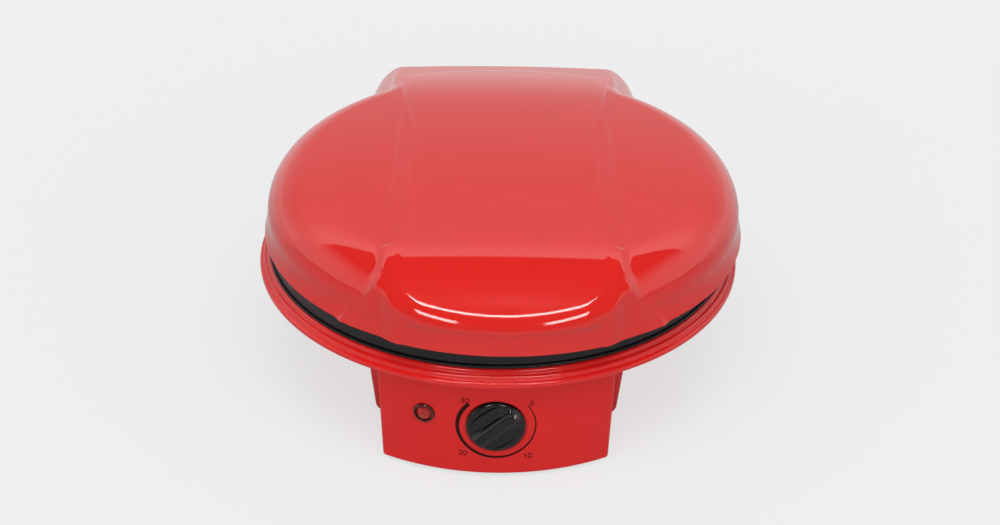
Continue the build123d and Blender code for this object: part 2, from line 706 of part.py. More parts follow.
with BuildPart() as lower_reflector:
    with BuildSketch(section_plane):
        with BuildLine():
            seat = REFLECTOR_SEAT_RADIUS
            rise = bowl_floor + REFLECTOR_RISE
            Polyline(
                (REFLECTOR_EYE, bowl_floor),
                (seat, bowl_floor),
                (seat + REFLECTOR_RISE, rise),
                (reflector_radius, rise),
                (reflector_radius + REFLECTOR_RISE, rise + REFLECTOR_RISE),
                (reflector_radius + REFLECTOR_RISE, rise + REFLECTOR_RISE + REFLECTOR_SHEET),
                (reflector_radius - REFLECTOR_SHEET / 2, rise + REFLECTOR_SHEET),
                (seat + REFLECTOR_RISE - REFLECTOR_SHEET / 2, rise + REFLECTOR_SHEET),
                (seat - REFLECTOR_SHEET / 2, bowl_floor + REFLECTOR_SHEET),
                (REFLECTOR_EYE, bowl_floor + REFLECTOR_SHEET),
                close=True,
            )
        make_face()
    revolve(axis=pan_axis)
    with BuildSketch(level(rise)):
        with Locations(*LEGS):
            Circle(TUBE_RADIUS + LEG_HOLE_GAP)
    extrude(amount=REFLECTOR_SHEET, mode=Mode.SUBTRACT)
lower_reflector.part.label = "lower_reflector"
export_step(lower_reflector.part, "parts/lower_reflector.step")


def tubular_element(height, leg_end):
    """Ring of heater tube, open at the back, with two upright legs that end in push-on tabs."""
    half_gap = degrees(asin(LEG_SPREAD / element_radius))
    with BuildPart() as element:
        with BuildLine(level(height)) as ring:
            CenterArc((0, 0), element_radius, 90 + half_gap, 360 - 2 * half_gap)
        with BuildSketch(Plane(ring.wire() @ 0, z_dir=ring.wire() % 0)):
            Circle(TUBE_RADIUS)
        sweep()
        with Locations(*[(x, pan_y + y, height) for x, y in LEGS]):
            Sphere(TUBE_RADIUS)
        with BuildSketch(level(height)):
            with Locations(*LEGS):
                Circle(TUBE_RADIUS)
        extrude(amount=leg_end - height)
        with BuildSketch(level(leg_end)):
            with Locations(*LEGS):
                Rectangle(TAB_WIDTH, TAB_SHEET)
        extrude(amount=copysign(TAB_LENGTH, leg_end - height))
    return element.part


def element_clips(seat, height):
    """Three clips that stand on a seat, each with a groove that the tube lies in."""
    with BuildPart() as clips:
        with BuildSketch(level(seat)):
            with PolarLocations(element_radius, 3, start_angle=-90):
                Rectangle(2 * TUBE_RADIUS + CLIP_ROOM, CLIP_WIDTH)
        extrude(amount=height - seat)
        with BuildSketch(section_plane):
            with Locations((element_radius, height)):
                Circle(TUBE_RADIUS + RUNNING_GAP)
        revolve(axis=pan_axis, mode=Mode.SUBTRACT)
    return clips.part


lower_element = tubular_element(lower_element_z, bowl_under - LEG_END_BELOW)
lower_element.label = "lower_element"
export_step(lower_element, "parts/lower_element.step")

lower_clips = element_clips(reflector_top, lower_element_z)
lower_clips.label = "element_clips"
export_step(lower_clips, "parts/element_clips.step")

# Baking pan: lifts out, and hangs by its flange on the rim's bead

with BuildPart() as baking_pan:
    with BuildSketch(section_plane):
        with BuildLine():
            Polyline(
                (0, pan_under),
                (pan_floor_radius, pan_under),
                (pan_mouth_radius, pan_rest),
                (pan_flange_radius, pan_rest),
                (pan_flange_radius, pan_rest + PAN_FLANGE),
                (pan_mouth_radius - PAN_SHEET / 2, pan_rest + PAN_FLANGE),
                (pan_floor_radius - PAN_SHEET * 0.7, pan_under + PAN_SHEET),
                (0, pan_under + PAN_SHEET),
                close=True,
            )
        face = make_face()
        fillet([corner for corner in face.vertices() if corner.X > 1], PAN_FLANGE * 0.4)
    revolve(axis=pan_axis)
baking_pan.part.label = "baking_pan"
export_step(baking_pan.part, "parts/baking_pan.step")

# Thermostat on the bowl's floor, with its face just under the pan, and the thermal fuse below the floor

with BuildPart() as thermostat:
    with BuildSketch(level(bowl_floor)):
        Circle(REFLECTOR_EYE - 1)
    extrude(amount=THERMOSTAT_FLANGE)
    with BuildSketch(level(bowl_floor)):
        Circle(THERMOSTAT_HEAD_RADIUS)
    extrude(amount=pan_under - bowl_floor - ELEMENT_GAP)
    with BuildSketch(level(bowl_floor)):
        Circle(THERMOSTAT_STEM_RADIUS)
    extrude(amount=-THERMOSTAT_STEM_LENGTH)
    with BuildSketch(level(bowl_floor - THERMOSTAT_STEM_LENGTH)):
        with Locations(*both_sides(TAB_SPREAD, 0)):
            Rectangle(TAB_SHEET, TAB_WIDTH)
    extrude(amount=-TAB_LENGTH)
thermostat.part.label = "thermostat"
export_step(thermostat.part, "parts/thermostat.step")


def fuse(seat, side):
    """Thermal fuse in its sleeve, lying against a sheet, with a lead out of each end."""
    middle = Plane((FUSE_X, pan_y, seat + side * (FUSE_RADIUS + SEAT_GAP)), x_dir=(0, 1, 0), z_dir=(1, 0, 0))
    with BuildPart() as body:
        with BuildSketch(middle):
            Circle(FUSE_RADIUS)
        extrude(amount=FUSE_LENGTH / 2, both=True)
        with BuildSketch(middle):
            Circle(LEAD_RADIUS)
        extrude(amount=FUSE_LENGTH / 2 + LEAD_LENGTH, both=True)
    return body.part


def fuse_strap(seat, side):
    """Strap bent over a fuse, spot-welded to the sheet by its two feet."""
    inner = FUSE_RADIUS + SEAT_GAP
    outer = inner + STRAP_SHEET
    middle = Plane((FUSE_X, pan_y, seat), x_dir=(0, 1, 0), z_dir=(1, 0, 0))
    with BuildPart() as strap:
        with BuildSketch(middle):
            with Locations((0, side * inner)):
                Circle(outer)
            with Locations((0, side * (inner + outer) / 2)):
                Rectangle(2 * outer, inner + outer, mode=Mode.INTERSECT)
            with Locations((0, side * inner / 2)):
                Rectangle(2 * outer, inner)
            with Locations((0, side * STRAP_SHEET / 2)):
                Rectangle(2 * (outer + STRAP_FOOT), STRAP_SHEET)
            with Locations((0, side * inner)):
                Circle(inner, mode=Mode.SUBTRACT)
            with Locations((0, side * inner / 2)):
                Rectangle(2 * inner, inner, mode=Mode.SUBTRACT)
        extrude(amount=STRAP_WIDTH / 2, both=True)
    return strap.part


thermal_fuse = fuse(bowl_under, -1)
thermal_fuse.label = "thermal_fuse"
export_step(thermal_fuse, "parts/thermal_fuse.step")

bowl_fuse_strap = fuse_strap(bowl_under, -1)
bowl_fuse_strap.label = "fuse_strap"
export_step(bowl_fuse_strap, "parts/fuse_strap.step")

# Clockwork timer behind the panel

with BuildPart() as timer_case:
    with BuildSketch(upright(-timer_face)):
        with Locations((0, KNOB_Z + (TIMER_ABOVE - TIMER_BELOW) / 2)):
            RectangleRounded(TIMER_WIDTH, TIMER_ABOVE + TIMER_BELOW, TIMER_CORNER)
    extrude(amount=-TIMER_DEPTH)
    with BuildSketch(upright(-timer_face)):
        with Locations((0, KNOB_Z)):
            Circle(SHAFT_RADIUS + SHAFT_ROOM)
    extrude(amount=-TIMER_DEPTH / 2, mode=Mode.SUBTRACT)
    with BuildSketch(upright(-timer_face)):
        with Locations(*TIMER_SCREWS):
            Circle(SCREW_RADIUS + FIXED_GAP)
    extrude(amount=POCKET_WALL - TIMER_SCREW_LENGTH - TIMER_SCREW_ROOM, mode=Mode.SUBTRACT)
timer_case.part.label = "timer_case"
export_step(timer_case.part, "parts/timer_case.step")

with BuildPart() as timer_bell:
    with BuildSketch(upright(-timer_face + TIMER_DEPTH)):
        with Locations((0, KNOB_Z - BELL_DROP)):
            Circle(BELL_RADIUS)
    extrude(amount=-BELL_DEPTH)
    fillet(timer_bell.faces().sort_by(Axis.Y)[-1].edges(), BELL_ROUND)
timer_bell.part.label = "timer_bell"
export_step(timer_bell.part, "parts/timer_bell.step")

with BuildPart() as timer_screws:
    below = (Align.CENTER, Align.CENTER, Align.MAX)
    head_height = COUNTERSINK_RADIUS - SCREW_RADIUS
    with Locations(upright(-pocket_reach)):
        with Locations(*TIMER_SCREWS):
            Cylinder(SCREW_RADIUS, TIMER_SCREW_LENGTH, align=below)
            Cone(SCREW_RADIUS, COUNTERSINK_RADIUS, head_height, align=below)
timer_screws.part.label = "timer_screws"
export_step(timer_screws.part, "parts/timer_screws.step")

# Indicator: lens, neon lamp and the spring ring that holds the lens

with BuildPart() as indicator_lens:
    with BuildSketch(lamp_plane(-LENS_RIM)):
        Circle(LENS_RADIUS)
    extrude(amount=LENS_RIM + LENS_DOME)
    fillet(indicator_lens.faces().sort_by(Axis.Y)[0].edges(), LENS_DOME)
    with BuildSketch(lamp_plane(-LENS_RIM)):
        Circle(lens_stem_radius)
    extrude(amount=-LENS_STEM_LENGTH)
    with BuildSketch(lamp_plane(-LENS_RIM - LENS_STEM_LENGTH)):
        Circle(lens_stem_radius - LENS_WALL)
    extrude(amount=LENS_STEM_LENGTH - LENS_WALL / 2, mode=Mode.SUBTRACT)
indicator_lens.part.label = "indicator_lens"
export_step(indicator_lens.part, "parts/indicator_lens.step")

with BuildPart() as indicator_lamp:
    with BuildSketch(lamp_plane(-LENS_RIM - LENS_STEM_LENGTH - LAMP_TAIL)):
        Circle(lens_stem_radius - LENS_WALL - LAMP_GAP)
    extrude(amount=LENS_STEM_LENGTH)
    fillet(indicator_lamp.faces().sort_by(Axis.Y)[0].edges(), LAMP_ROUND)
indicator_lamp.part.label = "indicator_lamp"
export_step(indicator_lamp.part, "parts/indicator_lamp.step")

with BuildPart() as lamp_retainer:
    with BuildSketch(lamp_plane(-HOUSING_WALL - 0.5)):
        Circle(lens_stem_radius + RETAINER_WIDTH)
        Circle(lens_stem_radius + SEAT_GAP, mode=Mode.SUBTRACT)
        with PolarLocations(lens_stem_radius + 1, 6):
            Rectangle(3.0, 1.0, mode=Mode.SUBTRACT)
    extrude(amount=-RETAINER_SHEET)
lamp_retainer.part.label = "lamp_retainer"
export_step(lamp_retainer.part, "parts/lamp_retainer.step")

# Terminal block, cord gland and cord clamp

with BuildPart() as terminal_block:
    with BuildSketch(level(cover_top)):
        with Locations((GLAND_X + TERMINAL_STEP, pedestal_rear - TERMINAL_SETBACK)):
            Rectangle(TERMINAL_WIDTH, TERMINAL_LENGTH)
    extrude(amount=TERMINAL_HEIGHT)
    with BuildSketch(level(cover_top + TERMINAL_HEIGHT)):
        with Locations((GLAND_X + TERMINAL_STEP, pedestal_rear - TERMINAL_SETBACK)):
            with GridLocations(0, TERMINAL_PITCH, 1, 3):
                Rectangle(TERMINAL_WELL_WIDTH, TERMINAL_WELL_DEPTH)
    extrude(amount=-TERMINAL_WELL_DEPTH, mode=Mode.SUBTRACT)
terminal_block.part.label = "terminal_block"
export_step(terminal_block.part, "parts/terminal_block.step")

with BuildPart() as cord_gland:
    with BuildSketch(backward(gland_inner_end)):
        with Locations((-GLAND_X, GLAND_Z)):
            Circle(GLAND_BODY_RADIUS)
    extrude(amount=GLAND_LENGTH)
    with BuildSketch(backward(pedestal_rear + SEAT_GAP)):
        with Locations((-GLAND_X, GLAND_Z)):
            Circle(GLAND_FLANGE_RADIUS)
    extrude(amount=GLAND_FLANGE_SHEET - SEAT_GAP)
    fillet(cord_gland.faces().sort_by(Axis.Y)[-1].outer_wire().edges(), 1.0)
    with BuildSketch(backward(pedestal_rear - PEDESTAL_WALL - SEAT_GAP)):
        with Locations((-GLAND_X, GLAND_Z)):
            Circle(GLAND_BODY_RADIUS + GLAND_NUT_RIM)
    extrude(amount=-GLAND_NUT_SHEET)
    with BuildSketch(backward(gland_inner_end)):
        with Locations((-GLAND_X, GLAND_Z)):
            Circle(GLAND_BORE_RADIUS)
    extrude(amount=GLAND_LENGTH, mode=Mode.SUBTRACT)
cord_gland.part.label = "cord_gland"
export_step(cord_gland.part, "parts/cord_gland.step")

with BuildPart() as cord_clamp:
    with BuildSketch(level(cover_top)):
        with Locations((GLAND_X, pedestal_rear - CLAMP_SETBACK)):
            Rectangle(CLAMP_WIDTH, CLAMP_LENGTH)
    extrude(amount=GLAND_Z - cover_top + CLAMP_HEADROOM)
    with BuildSketch(upright(pedestal_rear - CLAMP_SETBACK)):
        with Locations((GLAND_X, GLAND_Z)):
            Circle(GLAND_BORE_RADIUS)
            Rectangle(CLAMP_WIDTH + 2, CLAMP_SPLIT)
    extrude(amount=CLAMP_LENGTH, both=True, mode=Mode.SUBTRACT)
cord_clamp.part.label = "cord_clamp"
export_step(cord_clamp.part, "parts/cord_clamp.step")

# Knob: skirt, grip bar and pale mark, on a shaft with a flat

zero = radians(KNOB_ZERO_ANGLE)
grip_plane = Plane((0, pan_y - knob_back, KNOB_Z), x_dir=(cos(zero), 0, -sin(zero)), z_dir=(0, -1, 0))

with BuildPart() as timer_knob:
    with BuildSketch(grip_plane):
        Circle(KNOB_RADIUS)
    extrude(amount=KNOB_SKIRT)
    fillet(timer_knob.faces().sort_by(Axis.Y)[0].edges(), 1.6)
    with BuildSketch(grip_plane.offset(KNOB_SKIRT - 1)):
        SlotOverall(2 * KNOB_RADIUS - 1.0, KNOB_GRIP_WIDTH + 4.0, rotation=90)
    with BuildSketch(grip_plane.offset(KNOB_HEIGHT)):
        SlotOverall(2 * KNOB_RADIUS - 4.0, KNOB_GRIP_WIDTH - 2.0, rotation=90)
    loft()
    fillet(timer_knob.faces().sort_by(Axis.Y)[0].edges(), 1.2)
    with BuildSketch(grip_plane):
        Circle(SHAFT_RADIUS + FIXED_GAP)
        with Locations((0, SHAFT_RADIUS)):
            Rectangle(2 * SHAFT_RADIUS, 2 * SHAFT_FLAT, mode=Mode.SUBTRACT)
    extrude(amount=KNOB_HEIGHT - SHAFT_CAP, mode=Mode.SUBTRACT)
    with BuildSketch(grip_plane.offset(KNOB_HEIGHT - MARK_DEPTH)):
        with Locations((0, KNOB_RADIUS - MARK_INSET)):
            Rectangle(MARK_WIDTH, MARK_LENGTH)
    extrude(amount=2 * MARK_DEPTH, mode=Mode.SUBTRACT)
timer_knob.part.label = "timer_knob"
export_step(timer_knob.part, "parts/timer_knob.step")

with BuildPart() as knob_pointer:
    with BuildSketch(grip_plane.offset(KNOB_HEIGHT - MARK_DEPTH)):
        with Locations((0, KNOB_RADIUS - MARK_INSET)):
            Rectangle(MARK_WIDTH, MARK_LENGTH)
    extrude(amount=MARK_DEPTH)
knob_pointer.part.label = "knob_pointer"
export_step(knob_pointer.part, "parts/knob_pointer.step")

shaft_end = KNOB_HEIGHT - SHAFT_CAP - SHAFT_END_GAP

with BuildPart() as timer_shaft:
    with BuildSketch(grip_plane.offset(shaft_end)):
        Circle(SHAFT_RADIUS)
        with Locations((0, SHAFT_RADIUS)):
            Rectangle(2 * SHAFT_RADIUS, 2 * SHAFT_FLAT + 2 * FIXED_GAP, mode=Mode.SUBTRACT)
    extrude(amount=timer_face - knob_back - shaft_end - TIMER_DEPTH / 2 + SHAFT_TAIL_GAP)
timer_shaft.part.label = "timer_shaft"
export_step(timer_shaft.part, "parts/timer_shaft.step")

# Lid form: dome, raised hourglass band and hinge housing, whole or set in by the wall


def dome_profile(inset, bottom):
    """Half section of the dome: leaning wall, round shoulder and low crown."""
    shoulder_x = lid_wall_radius - LID_SHOULDER
    shoulder_z = lid_edge + LID_WALL_RISE
    top = lid_edge + LID_CROWN_RISE
    drop = shoulder_z - top
    crown = (shoulder_x**2 + drop**2 - LID_SHOULDER**2) / (-2 * (drop + LID_SHOULDER))
    meet_x = shoulder_x * (crown - inset) / (crown - LID_SHOULDER)
    meet_z = top - crown + sqrt((crown - inset) ** 2 - meet_x**2)
    lean = (lid_edge_radius - lid_wall_radius) / LID_WALL_RISE
    wall_x = lid_wall_radius - inset
    middle_x = shoulder_x + (LID_SHOULDER - inset) * 0.75
    middle_z = shoulder_z + sqrt((LID_SHOULDER - inset) ** 2 - (middle_x - shoulder_x) ** 2)
    with BuildLine() as profile:
        Polyline((0, bottom), (wall_x + lean * (shoulder_z - bottom), bottom), (wall_x, shoulder_z))
        ThreePointArc((wall_x, shoulder_z), (middle_x, middle_z), (meet_x, meet_z))
        half_x = meet_x / 2
        half_z = top - crown + sqrt((crown - inset) ** 2 - half_x**2)
        ThreePointArc((meet_x, meet_z), (half_x, half_z), (0, top - inset))
        Line((0, top - inset), (0, bottom))
    return profile


def band_plan(inset):
    """Plan of the band: an hourglass that ends in the round grip nose at the front."""
    nose = handle_reach - inset
    corner = HANDLE_HALF_WIDTH - inset
    waist = band_waist - inset
    rear = hinge_housing_reach - BAND_REAR_INSET - inset
    rear_corner = band_rear_half_width - inset
    corner_y = -sqrt((handle_reach - HANDLE_SIDE_INSET) ** 2 - HANDLE_HALF_WIDTH**2) + inset
    with BuildLine() as plan:
        side = Spline(
            (corner, corner_y),
            (waist + 1.8, 68.6 - handle_reach),
            (waist, -5.0),
            (waist + 6.6, hinge_housing_reach - 140.0),
            (waist + 15.0, hinge_housing_reach - 91.0),
            (rear_corner, rear),
        )
        ThreePointArc((-corner, corner_y), (0, -nose), (corner, corner_y))
        Line((rear_corner, rear), (-rear_corner, rear))
        mirror(side, about=Plane.YZ)
    return plan


def crest_profile(inset):
    """Side view of the band's top, as a closed outline that reaches well below the lid."""
    crest = lid_edge + LID_BAND_RISE - inset
    front = -handle_reach - 3
    rear = hinge_housing_reach + 4
    with BuildLine() as profile:
        Spline(
            (front, crest - 34.0),
            (front + 10.6, crest - 28.5),
            (front + 27.6, crest - 16.5),
            (front + 44.6, crest - 7.8),
            (front + 71.6, crest - 3.4),
            (0, crest),
            (rear - 140.0, crest - 1.4),
            (rear - 95.0, crest - 4.8),
            (rear - 50.0, crest - 12.5),
            (rear - 16.0, crest - 20.0),
            (rear, crest - 25.0),
        )
        Polyline((rear, crest - 25.0), (rear, lid_edge - 10), (front, lid_edge - 10), (front, crest - 34.0))
    return profile


def hinge_housing_section(inset, bottom):
    """Front view of the hinge housing: low crown and large round top corners."""
    half = hinge_housing_half_width - inset
    top = lid_edge + HINGE_HOUSING_RISE - inset
    eaves = top - HINGE_HOUSING_CROWN
    corner = HINGE_HOUSING_CORNER - inset
    turn = corner * (1 - sin(radians(45)))
    with BuildLine() as section:
        ThreePointArc((-half + corner, eaves), (0, top), (half - corner, eaves))
        ThreePointArc((half - corner, eaves), (half - turn, eaves - turn), (half, eaves - corner))
        Polyline((half, eaves - corner), (half, bottom), (-half, bottom), (-half, eaves - corner))
        ThreePointArc((-half, eaves - corner), (-half + turn, eaves - turn), (-half + corner, eaves))
    return section


def lid_band(inset, bottom):
    """The band as a prism on its plan, cut off along its crest, with its top edges rounded."""
    with BuildPart() as band:
        with BuildSketch(level(bottom)):
            add(band_plan(inset).line)
            make_face()
        extrude(amount=LID_BAND_RISE + 20)
        with BuildSketch(lengthways(-lid_edge_radius - 10)):
            add(crest_profile(inset).line)
            make_face()
        extrude(amount=2 * lid_edge_radius + 20, mode=Mode.INTERSECT)
        if inset == 0:
            top_edges = band.faces().sort_by(Axis.Z)[-1].edges().sort_by(Axis.Y)
            fillet(top_edges[0], NOSE_ROUND)
            top_edges = band.faces().sort_by(Axis.Z)[-1].edges().sort_by(Axis.Y)
            fillet(top_edges[1:3], BAND_ROUND)
    return band.part


def lid_hinge_housing(inset, bottom):
    """The hinge housing as a prism on its front view, with its back edge rounded."""
    with BuildPart() as housing:
        with BuildSketch(upright(hinge_housing_reach - inset)):
            add(hinge_housing_section(inset, bottom).line)
            make_face()
        extrude(amount=HINGE_HOUSING_DEPTH - inset)
        if inset == 0:
            back = housing.faces().sort_by(Axis.Y)[-1]
            fillet(back.edges().sort_by(Axis.Z)[1:], HOUSING_BACK_ROUND)
    return housing.part


def lid_form(inset, bottom):
    """The lid's outside when inset is 0, and its hollow when inset is the wall."""
    band = lid_band(inset, bottom)
    housing = lid_hinge_housing(inset, bottom)
    with BuildPart() as form:
        with BuildSketch(section_plane):
            add(dome_profile(inset, bottom).line)
            make_face()
        revolve(axis=pan_axis)
        with BuildSketch(lengthways(-lid_edge_radius - 10)):
            add(crest_profile(inset).line)
            make_face()
        extrude(amount=2 * lid_edge_radius + 20, mode=Mode.INTERSECT)
        add(band)
        add(housing)
    return form.part


lid_outside = lid_form(0, lid_edge)
lid_hollow = lid_form(LID_WALL, lid_edge - 1)

with BuildPart() as lid_cavity:
    add(lid_hollow)
    with BuildSketch(level(lid_reflector_top)):
        with Locations(*LID_COLUMNS):
            Circle(BOSS_RADIUS)
    extrude(amount=LID_BAND_RISE, mode=Mode.SUBTRACT)
    with BuildSketch(level(arm_foot_top)):
        with Locations(*ARM_SCREWS):
            Circle(BOSS_RADIUS)
    extrude(amount=LID_BAND_RISE, mode=Mode.SUBTRACT)

with BuildPart() as lid_shell:
    add(lid_outside)
    add(lid_cavity.part, mode=Mode.SUBTRACT)
    with BuildSketch(level(lid_reflector_top)):
        with Locations(*LID_COLUMNS):
            Circle(SCREW_RADIUS + FIXED_GAP)
    extrude(amount=LID_SCREW_LENGTH + SCREW_TIP_ROOM, mode=Mode.SUBTRACT)
    with BuildSketch(level(arm_foot_top)):
        with Locations(*ARM_SCREWS):
            Circle(SCREW_RADIUS + FIXED_GAP)
    extrude(amount=ARM_SCREW_LENGTH - ARM_FOOT_SHEET + ARM_SCREW_ROOM, mode=Mode.SUBTRACT)
    # Opening in the back wall for the knuckles of the base
    with BuildSketch(upright(hinge_housing_reach + 1)):
        with Locations((0, lid_edge)):
            Rectangle(2 * arm_outer_x, 2 * (hinge_z + KNUCKLE_RADIUS + KNUCKLE_HEADROOM - lid_edge))
    extrude(amount=LID_WALL + 3, mode=Mode.SUBTRACT)
lid_shell.part.label = "lid_shell"
export_step(lid_shell.part, "parts/lid_shell.step")

# Cooking plate of the lid, with bosses on its back

with BuildPart() as upper_plate:
    with BuildSketch(section_plane):
        with BuildLine():
            Polyline(
                (0, plate_face),
                (pan_floor_radius, plate_face),
                (pan_floor_radius + PLATE_FACE_SLOPE, plate_rim),
                (plate_radius, plate_rim),
                (plate_radius, plate_top),
                (plate_radius - PLATE_SKIRT, plate_top),
                (plate_radius - PLATE_SKIRT, plate_rim + PLATE_SHEET),
                (pan_floor_radius + PLATE_FACE_SLOPE + PLATE_BEND, plate_rim + PLATE_SHEET),
                (pan_floor_radius + PLATE_BEND, plate_back),
                (0, plate_back),
                close=True,
            )
        face = make_face()
        fillet([corner for corner in face.vertices() if corner.X > 1], PLATE_SKIRT * 0.4)
    revolve(axis=pan_axis)
    with BuildSketch(level(plate_back)):
        with Locations(*PLATE_BOSSES):
            Circle(BOSS_RADIUS)
    extrude(amount=plate_boss_height)
    with BuildSketch(level(plate_back)):
        with Locations(*PLATE_BOSSES):
            Circle(SCREW_RADIUS + FIXED_GAP)
    extrude(amount=plate_boss_height, mode=Mode.SUBTRACT)
upper_plate.part.label = "upper_plate"
export_step(upper_plate.part, "parts/upper_plate.step")

with BuildPart() as lid_reflector:
    with BuildSketch(section_plane):
        with BuildLine():
            dish = lid_reflector_dish
            outer = plate_radius + LID_REFLECTOR_OVERLAP
            Polyline(
                (0, lid_dish_top - REFLECTOR_SHEET),
                (dish - LID_REFLECTOR_RISE, lid_dish_top - REFLECTOR_SHEET),
                (dish, plate_top),
                (outer, plate_top),
                (outer, lid_reflector_top),
                (dish + REFLECTOR_SHEET / 2, lid_reflector_top),
                (dish - LID_REFLECTOR_RISE + REFLECTOR_SHEET / 2, lid_dish_top),
                (0, lid_dish_top),
                close=True,
            )
        make_face()
    revolve(axis=pan_axis)
    with BuildSketch(level(plate_top)):
        with Locations(*PLATE_BOSSES, *LID_COLUMNS):
            Circle(SCREW_RADIUS + RUNNING_GAP)
        with Locations(*LEGS):
            Circle(TUBE_RADIUS + LEG_HOLE_GAP)
    extrude(amount=LID_REFLECTOR_RISE + 2, mode=Mode.SUBTRACT)
lid_reflector.part.label = "lid_reflector"
export_step(lid_reflector.part, "parts/lid_reflector.step")

with BuildPart() as lid_screws:
    for x, y in LID_COLUMNS:
        add(screw(moved(under(plate_top), x, -y), LID_SCREW_LENGTH))
lid_screws.part.label = "lid_screws"
export_step(lid_screws.part, "parts/lid_screws.step")

with BuildPart() as plate_screws:
    for x, y in PLATE_BOSSES:
        add(screw(moved(level(lid_dish_top), x, y), LONG_SCREW_LENGTH))
plate_screws.part.label = "plate_screws"
export_step(plate_screws.part, "parts/plate_screws.step")

upper_element = tubular_element(upper_element_z, lid_dish_top + LEG_END_ABOVE)
upper_element.label = "upper_element"
export_step(upper_element, "parts/upper_element.step")

upper_clips = element_clips(plate_back, upper_element_z)
upper_clips.label = "upper_element_clips"
export_step(upper_clips, "parts/upper_element_clips.step")

lid_thermal_fuse = fuse(lid_dish_top, 1)
lid_thermal_fuse.label = "lid_thermal_fuse"
export_step(lid_thermal_fuse, "parts/lid_thermal_fuse.step")

lid_fuse_strap = fuse_strap(lid_dish_top, 1)
lid_fuse_strap.label = "lid_fuse_strap"
export_step(lid_fuse_strap, "parts/lid_fuse_strap.step")

# Hinge: bracket with two knuckles on the base, two arms in the lid, two pins with clips

with BuildPart() as hinge_bracket:
    with BuildSketch(level(pedestal_top)):
        with Locations((0, hinge_y)):
            RectangleRounded(2 * bracket_half_length, bracket_width, BRACKET_CORNER)
    extrude(amount=BRACKET_SHEET)
    for x in (knuckle_inner_x, -knuckle_outer_x):
        with BuildSketch(lengthways(x)):
            with Locations((hinge_y, hinge_z)):
                Circle(KNUCKLE_RADIUS)
            with Locations((hinge_y, (hinge_z + pedestal_top) / 2)):
                Rectangle(bracket_width, hinge_z - pedestal_top)
            with Locations((hinge_y, hinge_z)):
                Circle(PIN_RADIUS + FIXED_GAP, mode=Mode.SUBTRACT)
        extrude(amount=KNUCKLE_WIDTH)
    with BuildSketch(level(pedestal_top)):
        with Locations(*BRACKET_SCREWS):
            Circle(SCREW_RADIUS + RUNNING_GAP)
    extrude(amount=BRACKET_SHEET, mode=Mode.SUBTRACT)
hinge_bracket.part.label = "hinge_bracket"
export_step(hinge_bracket.part, "parts/hinge_bracket.step")

with BuildPart() as hinge_screws:
    for x, y in BRACKET_SCREWS:
        add(screw(moved(level(pedestal_top + BRACKET_SHEET), x, y), SCREW_LENGTH))
hinge_screws.part.label = "hinge_screws"
export_step(hinge_screws.part, "parts/hinge_screws.step")

with BuildPart() as hinge_pins:
    for side in (-1, 1):
        with BuildSketch(lengthways(side * (knuckle_inner_x - SEAT_GAP))):
            with Locations((hinge_y, hinge_z)):
                Circle(PIN_RADIUS + PIN_HEAD_RIM)
        extrude(amount=-side * PIN_HEAD)
        with BuildSketch(lengthways(side * (knuckle_inner_x - SEAT_GAP))):
            with Locations((hinge_y, hinge_z)):
                Circle(PIN_RADIUS)
        extrude(amount=side * (arm_outer_x - knuckle_inner_x + PIN_TAIL))
        with BuildSketch(lengthways(side * (arm_outer_x + CLIP_GAP))):
            with Locations((hinge_y, hinge_z)):
                Circle(PIN_RADIUS + 1)
                Circle(PIN_RADIUS - GROOVE_DEPTH, mode=Mode.SUBTRACT)
        extrude(amount=side * (CLIP_SHEET + SEAT_GAP), mode=Mode.SUBTRACT)
hinge_pins.part.label = "hinge_pins"
export_step(hinge_pins.part, "parts/hinge_pins.step")

with BuildPart() as pin_clips:
    for side in (-1, 1):
        with BuildSketch(lengthways(side * (arm_outer_x + CLIP_GAP))):
            with Locations((hinge_y, hinge_z)):
                Circle(PIN_RADIUS + CLIP_RIM)
                Circle(PIN_RADIUS - GROOVE_DEPTH + FIXED_GAP, mode=Mode.SUBTRACT)
            with Locations((hinge_y, hinge_z - PIN_RADIUS)):
                Rectangle(CLIP_MOUTH, 2 * PIN_RADIUS, mode=Mode.SUBTRACT)
        extrude(amount=side * CLIP_SHEET)
pin_clips.part.label = "pin_clips"
export_step(pin_clips.part, "parts/pin_clips.step")

with BuildPart() as lid_hinge_arms:
    for x in (arm_x, -arm_outer_x):
        with BuildSketch(lengthways(x)):
            with BuildLine():
                Polyline(
                    (hinge_y - KNUCKLE_RADIUS, hinge_z),
                    (hinge_y + KNUCKLE_RADIUS, hinge_z),
                    (hinge_y + KNUCKLE_RADIUS - ARM_TAPER, arm_foot_top - ARM_FOOT_SHEET),
                    (arm_foot_y - ARM_FOOT_LENGTH / 2 + ARM_FOOT_MARGIN, arm_foot_top - ARM_FOOT_SHEET),
                    close=True,
                )
            make_face()
            with Locations((hinge_y, hinge_z)):
                Circle(KNUCKLE_RADIUS)
                Circle(PIN_RADIUS + RUNNING_GAP, mode=Mode.SUBTRACT)
        extrude(amount=ARM_THICKNESS)
    with BuildSketch(level(arm_foot_top)):
        with Locations(*both_sides((arm_outer_x + arm_x - ARM_FOOT) / 2, arm_foot_y)):
            Rectangle(ARM_THICKNESS + ARM_FOOT, ARM_FOOT_LENGTH)
    extrude(amount=-ARM_FOOT_SHEET)
    with BuildSketch(level(arm_foot_top)):
        with Locations(*ARM_SCREWS):
            Circle(SCREW_RADIUS + RUNNING_GAP)
    extrude(amount=-ARM_FOOT_SHEET, mode=Mode.SUBTRACT)
lid_hinge_arms.part.label = "lid_hinge_arms"
export_step(lid_hinge_arms.part, "parts/lid_hinge_arms.step")

with BuildPart() as arm_screws:
    for x, y in ARM_SCREWS:
        add(screw(moved(under(arm_foot_top - ARM_FOOT_SHEET), x, -y), ARM_SCREW_LENGTH))
arm_screws.part.label = "arm_screws"
export_step(arm_screws.part, "parts/arm_screws.step")
